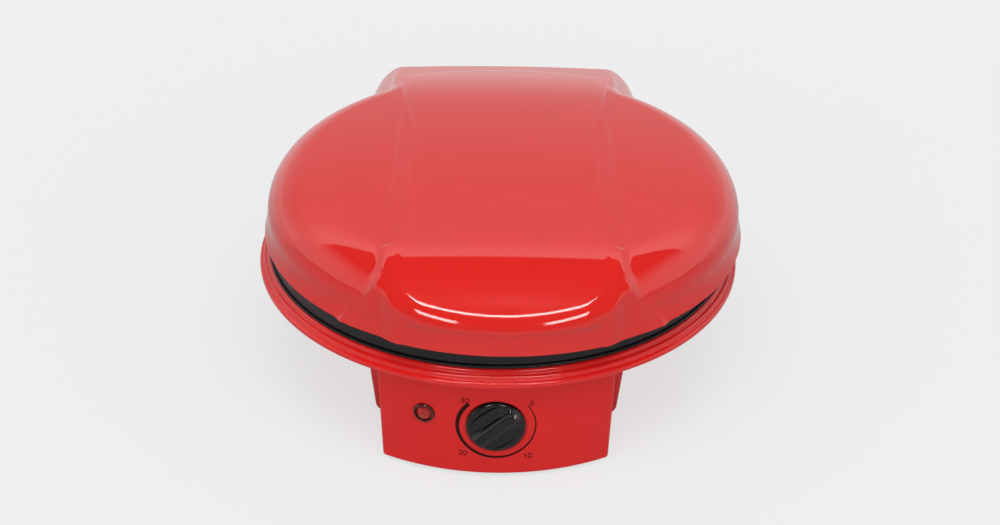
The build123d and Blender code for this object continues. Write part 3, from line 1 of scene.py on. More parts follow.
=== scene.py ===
"""Looks of the electric pizza maker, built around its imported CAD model."""

import json
from math import atan2, cos, pi, radians, sin, sqrt

import bmesh
import bpy
import numpy as np
from mathutils import Matrix, Vector
from mathutils.bvhtree import BVHTree


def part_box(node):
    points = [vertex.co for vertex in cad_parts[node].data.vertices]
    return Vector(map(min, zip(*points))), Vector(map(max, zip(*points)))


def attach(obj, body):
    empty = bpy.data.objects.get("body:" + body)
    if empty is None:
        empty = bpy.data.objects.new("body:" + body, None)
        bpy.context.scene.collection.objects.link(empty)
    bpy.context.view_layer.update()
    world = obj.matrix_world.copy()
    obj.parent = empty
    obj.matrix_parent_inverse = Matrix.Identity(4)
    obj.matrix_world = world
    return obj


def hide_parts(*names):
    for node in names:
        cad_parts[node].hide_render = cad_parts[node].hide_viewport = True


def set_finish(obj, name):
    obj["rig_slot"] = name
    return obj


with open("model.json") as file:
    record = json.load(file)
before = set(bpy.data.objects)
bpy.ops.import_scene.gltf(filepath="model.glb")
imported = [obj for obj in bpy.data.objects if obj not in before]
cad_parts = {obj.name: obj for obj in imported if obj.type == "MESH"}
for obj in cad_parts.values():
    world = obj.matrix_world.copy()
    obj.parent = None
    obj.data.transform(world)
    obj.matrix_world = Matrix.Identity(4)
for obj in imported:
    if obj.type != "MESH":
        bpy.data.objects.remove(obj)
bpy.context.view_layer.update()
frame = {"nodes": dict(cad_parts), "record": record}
nodes = frame["nodes"]

# Forms below are worked out in millimetres, with distances back and forth measured from the pan's upright
# axis. place() turns such a point into metres in the frame.
MM = 0.001
bowl_low, bowl_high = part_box("base_bowl")
pan_y = (bowl_low.y + bowl_high.y) / 2 / MM
rim_radius = bowl_high.x / MM
base_height = bowl_high.z / MM
lid_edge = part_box("lid_shell")[0].z / MM


def place(points):
    """Points in millimetres about the pan's axis, turned into metres in the frame."""
    return (np.asarray(points, float) + (0.0, pan_y, 0.0)) * MM


# Camera, fitted to the round rim and the lid's edge

CAMERA_BACK = 941.5
CAMERA_HEIGHT = 648.7
CAMERA_ELEVATION = 31.131
CAMERA_ROLL = 0.727
CAMERA_LENS = 54.9
CAMERA_SHIFT = (0.0018, -0.0172)
CAMERA_SENSOR = 36.0
CAMERA_FAR = 50.0


def make_camera():
    """Camera at the photograph's viewpoint."""
    data = bpy.data.cameras.new("view")
    camera = bpy.data.objects.new("view", data)
    bpy.context.scene.collection.objects.link(camera)
    data.sensor_width = CAMERA_SENSOR
    data.lens = CAMERA_LENS
    data.shift_x, data.shift_y = CAMERA_SHIFT
    data.clip_end = CAMERA_FAR
    tilt = radians(CAMERA_ELEVATION)
    roll = radians(CAMERA_ROLL)
    forward = Vector((0, cos(tilt), -sin(tilt)))
    right = Vector((1, 0, 0))
    up = right.cross(forward)
    across = cos(roll) * right + sin(roll) * up
    upward = cos(roll) * up - sin(roll) * right
    turn = Matrix((across, upward, -forward)).transposed()
    place_at = Vector(place((0, -CAMERA_BACK, CAMERA_HEIGHT)))
    camera.matrix_world = Matrix.Translation(place_at) @ turn.to_4x4()
    bpy.context.scene.camera = camera


# Mesh helpers

SMOOTH_ANGLE = 35


def finish_piece(name, corners, faces, body, slot, replaced=(), smooth_angle=SMOOTH_ANGLE):
    """Object from corners in metres in the frame, smooth except at sharp edges, riding on a body."""
    mesh = bpy.data.meshes.new(name)
    mesh.from_pydata(corners.tolist(), [], faces)
    mesh.validate()
    outward = bmesh.new()
    outward.from_mesh(mesh)
    bmesh.ops.recalc_face_normals(outward, faces=outward.faces)
    outward.to_mesh(mesh)
    outward.free()
    mesh.shade_smooth()
    mesh.set_sharp_from_angle(angle=radians(smooth_angle))
    piece = bpy.data.objects.new(name, mesh)
    bpy.context.scene.collection.objects.link(piece)
    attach(piece, body)
    if replaced:
        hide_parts(*replaced)
    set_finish(piece, slot)
    return piece


def axis_piece(name, points, faces, body, slot, **details):
    """Piece from points in millimetres about the pan's axis."""
    return finish_piece(name, place(points), faces, body, slot, **details)


def frame_piece(name, points, faces, body, slot, **details):
    """Piece from points in millimetres in the frame."""
    return finish_piece(name, np.asarray(points, float) * MM, faces, body, slot, **details)


def rounded(corners, steps):
    """Outline through (x, y, radius) corners, with each corner turned into an arc."""
    outline = []
    count = len(corners)
    for i, (x, y, radius) in enumerate(corners):
        here = np.array((x, y))
        if radius == 0:
            outline.append(here)
            continue
        before = np.array(corners[i - 1][:2]) - here
        after = np.array(corners[(i + 1) % count][:2]) - here
        before = before / np.linalg.norm(before)
        after = after / np.linalg.norm(after)
        half = np.arccos(np.clip(before @ after, -1, 1)) / 2
        centre = here + (before + after) / np.linalg.norm(before + after) * radius / sin(half)
        start = here + before * radius / np.tan(half)
        end = here + after * radius / np.tan(half)
        first = atan2(*(start - centre)[::-1])
        sweep = (atan2(*(end - centre)[::-1]) - first + pi) % (2 * pi) - pi
        for step in range(steps + 1):
            turn = first + sweep * step / steps
            outline.append(centre + radius * np.array((cos(turn), sin(turn))))
    return outline


def lathe(outline, segments):
    """Points and faces of a closed outline of (radius, height) turned about the pan's axis."""
    rows = len(outline)
    turns = np.arange(segments) * 2 * pi / segments
    points = [(r * cos(t), r * sin(t), z) for t in turns for r, z in outline]
    faces = []
    for i in range(segments):
        here, there = i * rows, (i + 1) % segments * rows
        for j in range(rows):
            k = (j + 1) % rows
            faces.append((here + j, there + j, there + k, here + k))
    return points, faces


# Signed distances, negative inside, for forms that flow into each other


def join_round(a, b, radius):
    """Union of two forms with a round fillet between them."""
    corner = np.hypot(np.maximum(radius - a, 0), np.maximum(radius - b, 0))
    return np.maximum(radius, np.minimum(a, b)) - corner


def meet_round(a, b, radius):
    """Common part of two forms with a rounded edge."""
    return -join_round(-a, -b, radius)


def join_soft(a, b, width):
    """Union of two forms that melt into each other over a width."""
    share = np.clip(0.5 + 0.5 * (b - a) / width, 0, 1)
    return b * (1 - share) + a * share - width * share * (1 - share)


class Spline:
    """Natural cubic spline through (x, y) points."""

    def __init__(self, points):
        self.x, self.y = np.array(points, float).T
        step = np.diff(self.x)
        slope = np.diff(self.y) / step
        size = len(self.x)
        system = np.eye(size)
        bend = np.zeros(size)
        for i in range(1, size - 1):
            system[i, i - 1 : i + 2] = step[i - 1], 2 * (step[i - 1] + step[i]), step[i]
            bend[i] = 6 * (slope[i] - slope[i - 1])
        self.second = np.linalg.solve(system, bend)

    def __call__(self, at):
        at = np.clip(at, self.x[0], self.x[-1])
        i = np.clip(np.searchsorted(self.x, at) - 1, 0, len(self.x) - 2)
        step = self.x[i + 1] - self.x[i]
        left, right = (self.x[i + 1] - at) / step, (at - self.x[i]) / step
        curve = (left**3 - left) * self.second[i] + (right**3 - right) * self.second[i + 1]
        return left * self.y[i] + right * self.y[i + 1] + curve * step**2 / 6


# Lid: dome, raised hourglass band with its grip nose, and hinge housing. A melt or a foot is the width or the
# radius over which two of its forms flow into each other.

LID_WALL = 2.2
DOME_RADIUS = 165.4
DOME_RISE = 52.5
WALL_STEEPNESS = 0.95
EDGE_FLARE = 2.8
FLARE_HEIGHT = 14.0
FLARE_POWER = 1.7
SHOULDER = 32.2
BAND_RISE = 53.5
BAND_CROWN = 1900.0
BAND_DRAFT = 0.8
BAND_EDGE = 2.5
BAND_FOOT = 4.0
BAND_FRONT = -135.0
TRENCH_INSET = 3.0
TRENCH_DEPTH = 2 * BAND_FOOT
TRENCH_ROUND = 1.0
NOSE_REACH = 169.9
NOSE_BEND = 215.0
NOSE_HALF_WIDTH = 78.0
NOSE_CORNER = 30.0
NOSE_LIP = 6.5
NOSE_BOTTOM = 16.2
NOSE_UNDER_ROUND = 2.0
NOSE_SIDE_ROOM = 0.4
NOSE_BACK = -120.0
NOSE_SEAM = 0.5
GRIP_REACH = 171.6
GRIP_WAIST = 1.5
GRIP_WAIST_POWER = 0.8
GRIP_HALF_WIDTH = 74.5
GRIP_CORNER = 8.0
GRIP_BELOW = 2.0
GRIP_TOP_ROUND = 3.0
GRIP_FOOT = 4.0
GUSSET_FACING = (0.493, -0.864, 0.105)
GUSSET_CORNER = (75.0, -152.2)
GUSSET_BACK_FACING = (0.865, 0.5)
GUSSET_BACK_TOP = (80.0, 35.0)
GUSSET_INNER = 66.0
GUSSET_END = 100.0
GUSSET_BELOW = 1.5
GUSSET_ROUND = 3.0
GUSSET_MELT = 3.0
HOUSING_START = 118.0
HOUSING_REACH = 196.0
HOUSING_HALF_WIDTH = 101.5
HOUSING_RISE = 26.0
HOUSING_LEVEL = 150.0
HOUSING_FALL = 0.02
HOUSING_CROWN = 5500.0
HOUSING_CORNER = 19.0
HOUSING_BACK_ROUND = 7.0
HOUSING_MELT = 12.0

# Height of the band along its middle, and half its width, from the tip of the nose back over the lid
crest = Spline(
    [
        (-174.6, -35.0),
        (-164.0, -28.5),
        (-147.0, -16.5),
        (-130.0, -7.8),
        (-103.0, -3.4),
        (0.0, 0.0),
        (60.0, -1.4),
        (105.0, -4.8),
        (150.0, -12.5),
        (184.0, -21.3),
        (200.0, -27.0),
    ]
)
band_half_width = Spline(
    [
        (-160.0, 76.5),
        (-142.0, 75.3),
        (-126.0, 70.7),
        (-103.0, 67.8),
        (-66.0, 66.6),
        (8.0, 65.6),
        (56.0, 72.6),
        (105.0, 81.0),
        (150.0, 85.0),
        (200.0, 87.0),
    ]
)


def dome_field(x, y, z):
    """Flared wall, round shoulder and low crown, turned about the pan's axis."""
    reach = np.hypot(x, y)
    shoulder_z = lid_edge + FLARE_HEIGHT
    shoulder_r = DOME_RADIUS - SHOULDER
    top = lid_edge + DOME_RISE
    drop = shoulder_z - top
    crown = (shoulder_r**2 + drop**2 - SHOULDER**2) / (-2 * (drop + SHOULDER))
    flare = EDGE_FLARE * np.clip((shoulder_z - z) / FLARE_HEIGHT, 0, 2) ** FLARE_POWER
    wall = (reach - DOME_RADIUS - flare) * WALL_STEEPNESS
    shoulder = np.hypot(reach - shoulder_r, z - shoulder_z) - SHOULDER
    low_crown = np.hypot(reach, z - top + crown) - crown
    is_crown = reach * (shoulder_z - top + crown) < shoulder_r * (z - top + crown)
    return np.where(z < shoulder_z, wall, np.where(is_crown, low_crown, shoulder))


def band_top(x, y, z):
    """Height over the band's crest, with its crown across and its slope taken out."""
    slope = (crest(y + 1) - crest(y - 1)) / 2
    return (z - lid_edge - BAND_RISE - crest(y) + x**2 / 2 / BAND_CROWN) / np.sqrt(1 + slope**2)


def nose_front(x, y, z):
    """Front of the nose in plan: a shallow arc with large round corners."""
    arc = np.hypot(x, y + NOSE_REACH - NOSE_BEND) - NOSE_BEND
    side = np.abs(x) - NOSE_HALF_WIDTH
    return meet_round(arc, side, NOSE_CORNER)


def band_field(x, y, z):
    """Raised band with leaning sides, and a lip along its nose."""
    top = band_top(x, y, z)
    side = (np.abs(x) - band_half_width(y) + top * BAND_DRAFT) / sqrt(1 + BAND_DRAFT**2)
    front = nose_front(x, y, z)
    lip_under = lid_edge + NOSE_BOTTOM - z
    lip = meet_round(meet_round(top, front, NOSE_LIP), lip_under, NOSE_UNDER_ROUND)
    body = meet_round(top, side, BAND_EDGE)
    body = meet_round(body, y - HOUSING_REACH, HOUSING_BACK_ROUND)
    body = np.maximum(body, BAND_FRONT - y)
    nose = np.maximum(lip, np.abs(x) - NOSE_HALF_WIDTH - NOSE_SIDE_ROOM)
    return join_round(body, np.maximum(nose, y - NOSE_BACK), NOSE_SEAM)


def trench_field(x, y, z):
    """Room cut in the dome under the middle of the band, so that the two surfaces don't run together."""
    inside = np.abs(x) - band_half_width(y) + TRENCH_INSET
    return meet_round(inside, -(band_top(x, y, z) + TRENCH_DEPTH), TRENCH_ROUND)


def grip_field(x, y, z):
    """Wall below the nose's lip, drawn in a little at its middle."""
    rise = (z - lid_edge) / NOSE_BOTTOM
    waist = GRIP_WAIST * np.clip(rise, 0, 1) ** GRIP_WAIST_POWER
    front = np.hypot(x, y) - GRIP_REACH + waist
    side = np.abs(x) - GRIP_HALF_WIDTH
    block = meet_round(front, side, GRIP_CORNER)
    return meet_round(block, band_top(x, y, z) + GRIP_BELOW, GRIP_TOP_ROUND)


def gusset_field(x, y, z):
    """Flat facet beside each end of the nose, from the band's corner down to the lid's edge."""
    x, rise = np.abs(x), z - lid_edge
    out, back, up = GUSSET_FACING
    facet = out * (x - GUSSET_CORNER[0]) + back * (y - GUSSET_CORNER[1]) + up * rise
    facet = np.maximum(np.maximum(facet, GUSSET_INNER - x), y + GUSSET_END)
    out, up = GUSSET_BACK_FACING
    behind = out * (x - GUSSET_BACK_TOP[0]) + up * (rise - GUSSET_BACK_TOP[1])
    wedge = meet_round(facet, behind, GUSSET_ROUND)
    return meet_round(wedge, band_top(x, y, z) + GUSSET_BELOW, GUSSET_ROUND)


def housing_field(x, y, z):
    """Hinge housing across the back."""
    side = np.abs(x) - HOUSING_HALF_WIDTH
    top = z - lid_edge - HOUSING_RISE + x**2 / HOUSING_CROWN + (y - HOUSING_LEVEL) * HOUSING_FALL
    section = meet_round(side, top, HOUSING_CORNER)
    whole = meet_round(section, y - HOUSING_REACH, HOUSING_BACK_ROUND)
    return np.maximum(whole, HOUSING_START - y)


def lid_field(x, y, z):
    """The whole outside of the lid."""
    form = np.maximum(dome_field(x, y, z), -trench_field(x, y, z))
    form = join_soft(form, gusset_field(x, y, z), GUSSET_MELT)
    form = join_round(form, grip_field(x, y, z), GRIP_FOOT)
    form = join_round(form, band_field(x, y, z), BAND_FOOT)
    return join_soft(form, housing_field(x, y, z), HOUSING_MELT)


# Rays from the middle of the lid's mouth find its surface between these distances, which are halved until a
# tenth of a millimetre is left.
RAY_NEAR = 35.0
RAY_FAR = 230.0
RAY_HALVINGS = 11


def trace_field(field, turns, rises):
    """Where rays from the middle of the lid's mouth leave a form, to about a tenth of a millimetre."""
    turn, rise = np.meshgrid(turns, rises, indexing="ij")
    ray = np.stack((np.cos(turn) * np.cos(rise), np.sin(turn) * np.cos(rise), np.sin(rise)))
    near = np.full(turn.shape, RAY_NEAR)
    far = np.full(turn.shape, RAY_FAR)
    for _ in range(RAY_HALVINGS):
        middle = (near + far) / 2
        inside = field(ray[0] * middle, ray[1] * middle, lid_edge + ray[2] * middle) < 0
        near = np.where(inside, middle, near)
        far = np.where(inside, far, middle)
    return np.moveaxis(ray * near, 0, -1) + (0, 0, lid_edge)


def settle(field, points, reach=0.4):
    """Moves points that are near a form's surface onto it, along their rays."""
    ray = np.moveaxis(points - (0, 0, lid_edge), -1, 0)
    length = np.linalg.norm(ray, axis=0)
    ray = ray / length
    for _ in range(2):
        low, high = length - reach, length + reach
        inner = field(ray[0] * low, ray[1] * low, lid_edge + ray[2] * low)
        outer = field(ray[0] * high, ray[1] * high, lid_edge + ray[2] * high)
        share = np.clip(inner / np.minimum(inner - outer, -1e-9), 0, 1)
        length = low + 2 * reach * share
        reach = reach / 8
    return np.moveaxis(ray * length, 0, -1) + (0, 0, lid_edge)


def even_rows(lines, count):
    """Each line of points, divided again into count points an even distance apart."""
    evened = []
    for line in lines:
        along = np.concatenate(([0], np.cumsum(np.linalg.norm(np.diff(line, axis=0), axis=1))))
        wanted = np.linspace(0, along[-1], count)
        evened.append(np.stack([np.interp(wanted, along, line[:, axis]) for axis in range(3)], axis=-1))
    return np.array(evened)


LID_TURNS = 720
LID_ROWS = 190
LID_INNER_ROWS = 46
LID_TOP_ANGLE = 89.6
LID_ROW_POWER = 1.35
LID_SMOOTH_ANGLE = 50
NOTCH_START = 150.0
NOTCH_HALF_WIDTH = 72.8
NOTCH_HEIGHT = 7.0

# The lid in the photograph sits this far to the right on its hinge.
LID_PLAY = 3.2


def lid_surface(inset, rows):
    """Grid of points over the lid, from its edge, or the notch over its hinge, to just beside its middle."""

    def field(x, y, z):
        return lid_field(x, y, z) + inset

    turns = np.arange(LID_TURNS) * 2 * pi / LID_TURNS
    rises = np.linspace(0, 1, 2 * rows) ** LID_ROW_POWER * radians(LID_TOP_ANGLE)
    lifted = []
    for line in trace_field(field, turns, rises):
        start = 0
        if line[0, 1] > NOTCH_START and abs(line[0, 0]) < NOTCH_HALF_WIDTH:
            start = np.searchsorted(line[:, 2], lid_edge + NOTCH_HEIGHT)
        lifted.append(line[start:])
    return settle(field, even_rows(lifted, rows))


def make_lid():
    """Lid shell: outside, inside, and the edge that joins them."""
    outer = lid_surface(0.0, LID_ROWS)
    inner = lid_surface(LID_WALL, LID_INNER_ROWS)
    top = lid_edge + BAND_RISE
    poles = np.array(((0, 0, top), (0, 0, top - LID_WALL)))
    points = np.concatenate((outer.reshape(-1, 3), inner.reshape(-1, 3), poles))
    inside = LID_TURNS * LID_ROWS
    outer_pole, inner_pole = len(points) - 2, len(points) - 1
    faces = []
    for i in range(LID_TURNS):
        k = (i + 1) % LID_TURNS
        here, there = i * LID_ROWS, k * LID_ROWS
        for j in range(LID_ROWS - 1):
            faces.append((here + j, there + j, there + j + 1, here + j + 1))
        faces.append((here + LID_ROWS - 1, there + LID_ROWS - 1, outer_pole))
        under, beside = inside + i * LID_INNER_ROWS, inside + k * LID_INNER_ROWS
        for j in range(LID_INNER_ROWS - 1):
            faces.append((under + j, under + j + 1, beside + j + 1, beside + j))
        faces.append((beside + LID_INNER_ROWS - 1, under + LID_INNER_ROWS - 1, inner_pole))
        faces.append((here, under, beside, there))
    points = points + (LID_PLAY, 0, 0)
    return axis_piece(
        "lid_cover", points, faces, "lid", "lid_red", replaced=["lid_shell"], smooth_angle=LID_SMOOTH_ANGLE
    )


# Base rim and bowl, one pressing

SHEET = 1.2
HUB_RADIUS = 14.0
BOWL_FLOOR_RADIUS = 128.0
BOWL_DEPTH = 33.5
SKIRT_DROP = 10.1
RIM_SEGMENTS = 360
RIM_ARC_STEPS = 4
RIM_SMOOTH_ANGLE = 40


def make_rim():
    """The pressed bowl with its three-stepped rim: its underside outwards, then its top side inwards."""
    r, h = rim_radius, base_height
    corners = [
        (HUB_RADIUS, h - BOWL_DEPTH, 0),
        (BOWL_FLOOR_RADIUS, h - BOWL_DEPTH, 2.0),
        (r - 11.2, h - SKIRT_DROP, 2.0),
        (r - 8.2, h - 1.4, 0.8),
        (r - 7.4, h - SHEET, 0.8),
        (r - 7.0, h - 3.4, 0.6),
        (r - 4.4, h - 4.2, 0.6),
        (r - 3.6, h - 7.4, 0.6),
        (r - 1.4, h - 7.5, 0.5),
        (r - SHEET, h - SKIRT_DROP, 0),
        (r, h - SKIRT_DROP, 0.5),
        (r, h - 6.3, 1.6),
        (r - 2.4, h - 6.1, 0.7),
        (r - 2.9, h - 3.0, 1.4),
        (r - 5.3, h - 2.9, 0.8),
        (r - 6.1, h, 1.6),
        (r - 9.4, h, 1.1),
        (r - 12.4, h - SKIRT_DROP, 2.0),
        (BOWL_FLOOR_RADIUS - SHEET / 2, h - BOWL_DEPTH + SHEET, 2.0),
        (HUB_RADIUS, h - BOWL_DEPTH + SHEET, 0),
    ]
    points, faces = lathe(rounded(corners, RIM_ARC_STEPS), RIM_SEGMENTS)
    return axis_piece(
        "rim_bowl", points, faces, "base", "rim_red", replaced=["base_bowl"], smooth_angle=RIM_SMOOTH_ANGLE
    )


# Control panel: printed dial, signal lens and knob. Points are (across, height) in millimetres on its face.

PRINT_LIFT = 0.12
PRINT_SINK = 0.1
DIAL_RADIUS = 26.2
DIAL_START = 50.0
DIAL_END = 315.0
DIAL_STEPS = 120
DIAL_THIN = 0.5
DIAL_THICK = 2.9
STROKE = 0.55
DIGIT_PITCH = 3.1
NUMERALS = {"0": (22.8, 18.3), "10": (20.7, -24.8), "20": (-21.5, -23.0), "30": (-20.0, 20.0)}
knob_low, knob_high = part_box("timer_knob")
knob_z = (knob_low.z + knob_high.z) / 2 / MM
knob_back = knob_high.y / MM


def node_surface(name):
    """Search tree of a CAD node's surface, in the frame."""
    node = nodes[name]
    corners = [node.matrix_world @ vertex.co for vertex in node.data.vertices]
    return BVHTree.FromPolygons(corners, [list(face.vertices) for face in node.data.polygons])


def on_panel(panel, x, z):
    """Point of the panel's face that lies straight behind a place seen from the front."""
    return panel.ray_cast(Vector((x * MM, -1.0, z * MM)), Vector((0, 1, 0)))[0] / MM


def ellipse_path(centre_x, centre_z, across, high, start, end, count=14):
    """Points of an arc, with angles in degrees from the right, counter-clockwise."""
    angles = np.radians(np.linspace(start, end, count))
    return [(centre_x + across * cos(a), centre_z + high * sin(a)) for a in angles]


def digit_path(digit):
    """Centre line of a digit about its middle."""
    if digit == "0":
        return ellipse_path(0, 0, 1.05, 1.8, 90, 450, 25)
    if digit == "1":
        return [(-0.75, 0.95), (0.25, 1.8), (0.25, -1.8)]
    if digit == "2":
        return ellipse_path(0, 0.8, 1.0, 1.0, 165, -40) + [(-1.0, -1.8), (1.1, -1.8)]
    return ellipse_path(-0.1, 0.88, 0.95, 0.92, 150, -85) + ellipse_path(-0.1, -0.88, 1.08, 0.92, 80, -150)


def ribbon(panel, path, widths):
    """Thin raised strip along a path on the panel, closed on all sides."""
    path = np.asarray(path, float)
    along = np.gradient(path, axis=0)
    along /= np.linalg.norm(along, axis=1)[:, None]
    across = np.stack((-along[:, 1], along[:, 0]), axis=1) * np.asarray(widths)[:, None] / 2
    points = []
    for centre, half in zip(path, across):
        for side, lift in ((1, PRINT_LIFT), (-1, PRINT_LIFT), (-1, -PRINT_SINK), (1, -PRINT_SINK)):
            x, z = centre + side * half
            points.append((x, on_panel(panel, x, z).y - lift, z))
    faces = [(0, 1, 2, 3), tuple(len(points) - 4 + k for k in (3, 2, 1, 0))]
    for i in range(len(path) - 1):
        for k in range(4):
            here, there = 4 * i, 4 * i + 4
            faces.append((here + k, there + k, there + (k + 1) % 4, here + (k + 1) % 4))
    return points, faces


def make_dial_print():
    """Tapering arc round the knob and its four plain numbers."""
    panel = node_surface("control_housing")
    turns = np.linspace(DIAL_START, DIAL_END, DIAL_STEPS)
    widths = DIAL_THIN + (DIAL_THICK - DIAL_THIN) * (turns - DIAL_START) / (DIAL_END - DIAL_START)
    reach = DIAL_RADIUS - widths / 2
    arc = np.stack((reach * np.sin(np.radians(turns)), knob_z + reach * np.cos(np.radians(turns))), axis=1)
    strips = [ribbon(panel, arc, widths)]
    for text, (x, z) in NUMERALS.items():
        for place_in_text, digit in enumerate(text):
            shift = (place_in_text - (len(text) - 1) / 2) * DIGIT_PITCH
            path = [(x + shift + across, knob_z + z + high) for across, high in digit_path(digit)]
            strips.append(ribbon(panel, path, [STROKE] * len(path)))
    points, faces = [], []
    for strip_points, strip_faces in strips:
        faces += [tuple(len(points) + k for k in face) for face in strip_faces]
        points += strip_points
    return frame_piece("dial_marks", points, faces, "base", "dial_print")


LAMP_X = 46.4
LAMP_Z = 47.9
LAMP_SPAN = 8.5
BEZEL_SEGMENTS = 96
BEZEL_SMOOTH_ANGLE = 40
JEWEL_FACETS = 12
JEWEL_SMOOTH_ANGLE = 4

# Sections of the bezel and the lens, from the axis at the front to the axis at the back, as distance from the
# axis and height over the panel.
BEZEL = (
    (0, -0.5),
    (5.3, -0.5),
    (5.5, 1.4),
    (5.8, 1.9),
    (6.5, 1.9),
    (7.0, 1.5),
    (7.3, 0.4),
    (7.3, -0.4),
    (0, -0.9),
)
JEWEL = (
    (0, 2.9),
    (1.9, 2.7),
    (3.7, 2.1),
    (4.9, 1.1),
    (5.25, 0.2),
    (5.25, -0.7),
    (0, -0.8),
)


def lamp_frame():
    """Frame on the panel at the lens, with its third axis out of the face."""
    panel = node_surface("control_housing")
    left, right = on_panel(panel, -LAMP_X - LAMP_SPAN, LAMP_Z), on_panel(panel, -LAMP_X + LAMP_SPAN, LAMP_Z)
    below, above = on_panel(panel, -LAMP_X, LAMP_Z - LAMP_SPAN), on_panel(panel, -LAMP_X, LAMP_Z + LAMP_SPAN)
    across, up = (right - left).normalized(), (above - below).normalized()
    return (left + right + below + above) / 4, across, up, across.cross(up)


def turned(outline, segments, centre, across, up, out, twist=0.0):
    """Closed turned form from the axis at the front, over its side, to the axis at the back."""
    rings = [
        centre + out * height + (across * cos(turn) + up * sin(turn)) * reach
        for number, (reach, height) in enumerate(outline[1:-1])
        for turn in (2 * pi * (k + twist * number) / segments for k in range(segments))
    ]
    ends = (centre + out * outline[0][1], centre + out * outline[-1][1])
    points = [tuple(point) for point in (*rings, *ends)]
    front, back = len(rings), len(rings) + 1
    last = len(rings) - segments
    faces = []
    for k in range(segments):
        after = (k + 1) % segments
        faces += [(front, k, after), (back, last + after, last + k)]
        for row in range(0, last, segments):
            faces.append((row + k, row + segments + k, row + segments + after))
            faces.append((row + k, row + segments + after, row + after))
    return points, faces


def make_lens():
    """Faceted red lens in its round bezel, whose dark colour is partly painted shade of the recess round the
    lens.
    """
    place_on_panel = lamp_frame()
    points, faces = turned(BEZEL, BEZEL_SEGMENTS, *place_on_panel)
    bezel_and_shade = frame_piece("lens_bezel_painted_shade", points, faces, "base", "lens_red", smooth_angle=BEZEL_SMOOTH_ANGLE)
    points, faces = turned(JEWEL, JEWEL_FACETS, *place_on_panel, twist=0.5)
    jewel = frame_piece(
        "lens_jewel",
        points,
        faces,
        "base",
        "lens_red",
        replaced=["indicator_lens"],
        smooth_angle=JEWEL_SMOOTH_ANGLE,
    )
    return bezel_and_shade, jewel


# Knob: a bevelled disc with a raised bar from side to side

KNOB_REACH = 19.3
KNOB_BEVEL = 2.2
KNOB_PROUD = 1.2
KNOB_GAP = 0.4
KNOB_EDGE = 0.5
KNOB_TURN = 47.0
KNOB_SEGMENTS = 240
KNOB_ROWS = 64
KNOB_ROW_POWER = 1.1
KNOB_SMOOTH_ANGLE = 50
BAR_RISE = 4.6
BAR_HALF_WIDTH = 3.4
BAR_SLOPE = 2.2
BAR_CROWN = 14.0
BAR_END = 18.4
BAR_END_SLOPE = 1.7
BAR_EDGE_MELT = 1.2
BAR_END_MELT = 1.6
BAR_FOOT_MELT = 0.8
SCOOP_MIDDLE = 9.4
SCOOP_HALF_WIDTH = 5.4
SCOOP_LENGTH = 14.0
SCOOP_DEPTH = 1.6
SCOOP_POWER = 0.8
MARK_HALF_WIDTH = 0.45
MARK_INNER = 16.2
MARK_OUTER = 17.6
MARK_LIFT = 0.1
MARK_SINK = 0.4
SHAFT_CAP = 2.5
SHAFT_CHAMFER = 0.5
SHAFT_SEGMENTS = 32

# The knob's face stands a little out of the panel at the top of the dial.
knob_face = knob_back - on_panel(node_surface("control_housing"), 0, knob_z + DIAL_RADIUS).y + KNOB_PROUD
bar_top = knob_face + BAR_RISE


def knob_height(across, along):
    """Height of the knob's front over its back, beside the bar's centre line and along it."""
    reach = np.hypot(across, along)
    beyond = np.clip(reach - (KNOB_REACH - KNOB_BEVEL), 0, KNOB_BEVEL)
    face = knob_face - KNOB_BEVEL + np.sqrt(KNOB_BEVEL**2 - beyond**2)
    out_of_scoop = np.hypot((np.abs(across) - SCOOP_MIDDLE) / SCOOP_HALF_WIDTH, along / SCOOP_LENGTH)
    face = face - SCOOP_DEPTH * np.clip(1 - out_of_scoop**2, 0, 1) ** SCOOP_POWER
    top = bar_top - across**2 / BAR_CROWN
    side = bar_top - (np.abs(across) - BAR_HALF_WIDTH) * BAR_SLOPE
    end = bar_top - (reach - BAR_END + BAR_RISE / BAR_END_SLOPE) * BAR_END_SLOPE
    bar = join_soft(join_soft(top, side, BAR_EDGE_MELT), end, BAR_END_MELT)
    return -join_soft(-face, -bar, BAR_FOOT_MELT)


def knob_point(reach, turn, height):
    """Place in the frame of a point at a distance from the axis and an angle from the bar."""
    angle = radians(KNOB_TURN) + turn
    return (reach * sin(angle), knob_back - height, knob_z + reach * cos(angle))


def knob_front(across, along, lift=0.0):
    """Place in the frame on the knob's front, or at a small height over it."""
    height = float(knob_height(across, along)) + lift
    return knob_point(sqrt(across**2 + along**2), atan2(across, along), height)


def make_knob():
    """Timer knob: flat back, short edge, and its front as rings that close in on the axis."""
    side_heights = (KNOB_GAP, KNOB_GAP + KNOB_EDGE)
    reaches = [KNOB_REACH * (1 - (row / KNOB_ROWS) ** KNOB_ROW_POWER) for row in range(KNOB_ROWS)]
    points = []
    for k in range(KNOB_SEGMENTS):
        turn = 2 * pi * k / KNOB_SEGMENTS
        points += [knob_point(KNOB_REACH, turn, height) for height in side_heights]
        points += [knob_front(reach * sin(turn), reach * cos(turn)) for reach in reaches]
    points += [knob_point(0, 0, KNOB_GAP), knob_front(0.0, 0.0)]
    back, front = len(points) - 2, len(points) - 1
    count = len(side_heights) + len(reaches)
    faces = []
    for k in range(KNOB_SEGMENTS):
        here, there = k * count, (k + 1) % KNOB_SEGMENTS * count
        for row in range(count - 1):
            faces.append((here + row, there + row, there + row + 1, here + row + 1))
        faces += [(back, there, here), (front, here + count - 1, there + count - 1)]
    return frame_piece(
        "dial_knob",
        points,
        faces,
        "knob",
        "knob_black",
        replaced=["timer_knob"],
        smooth_angle=KNOB_SMOOTH_ANGLE,
    )


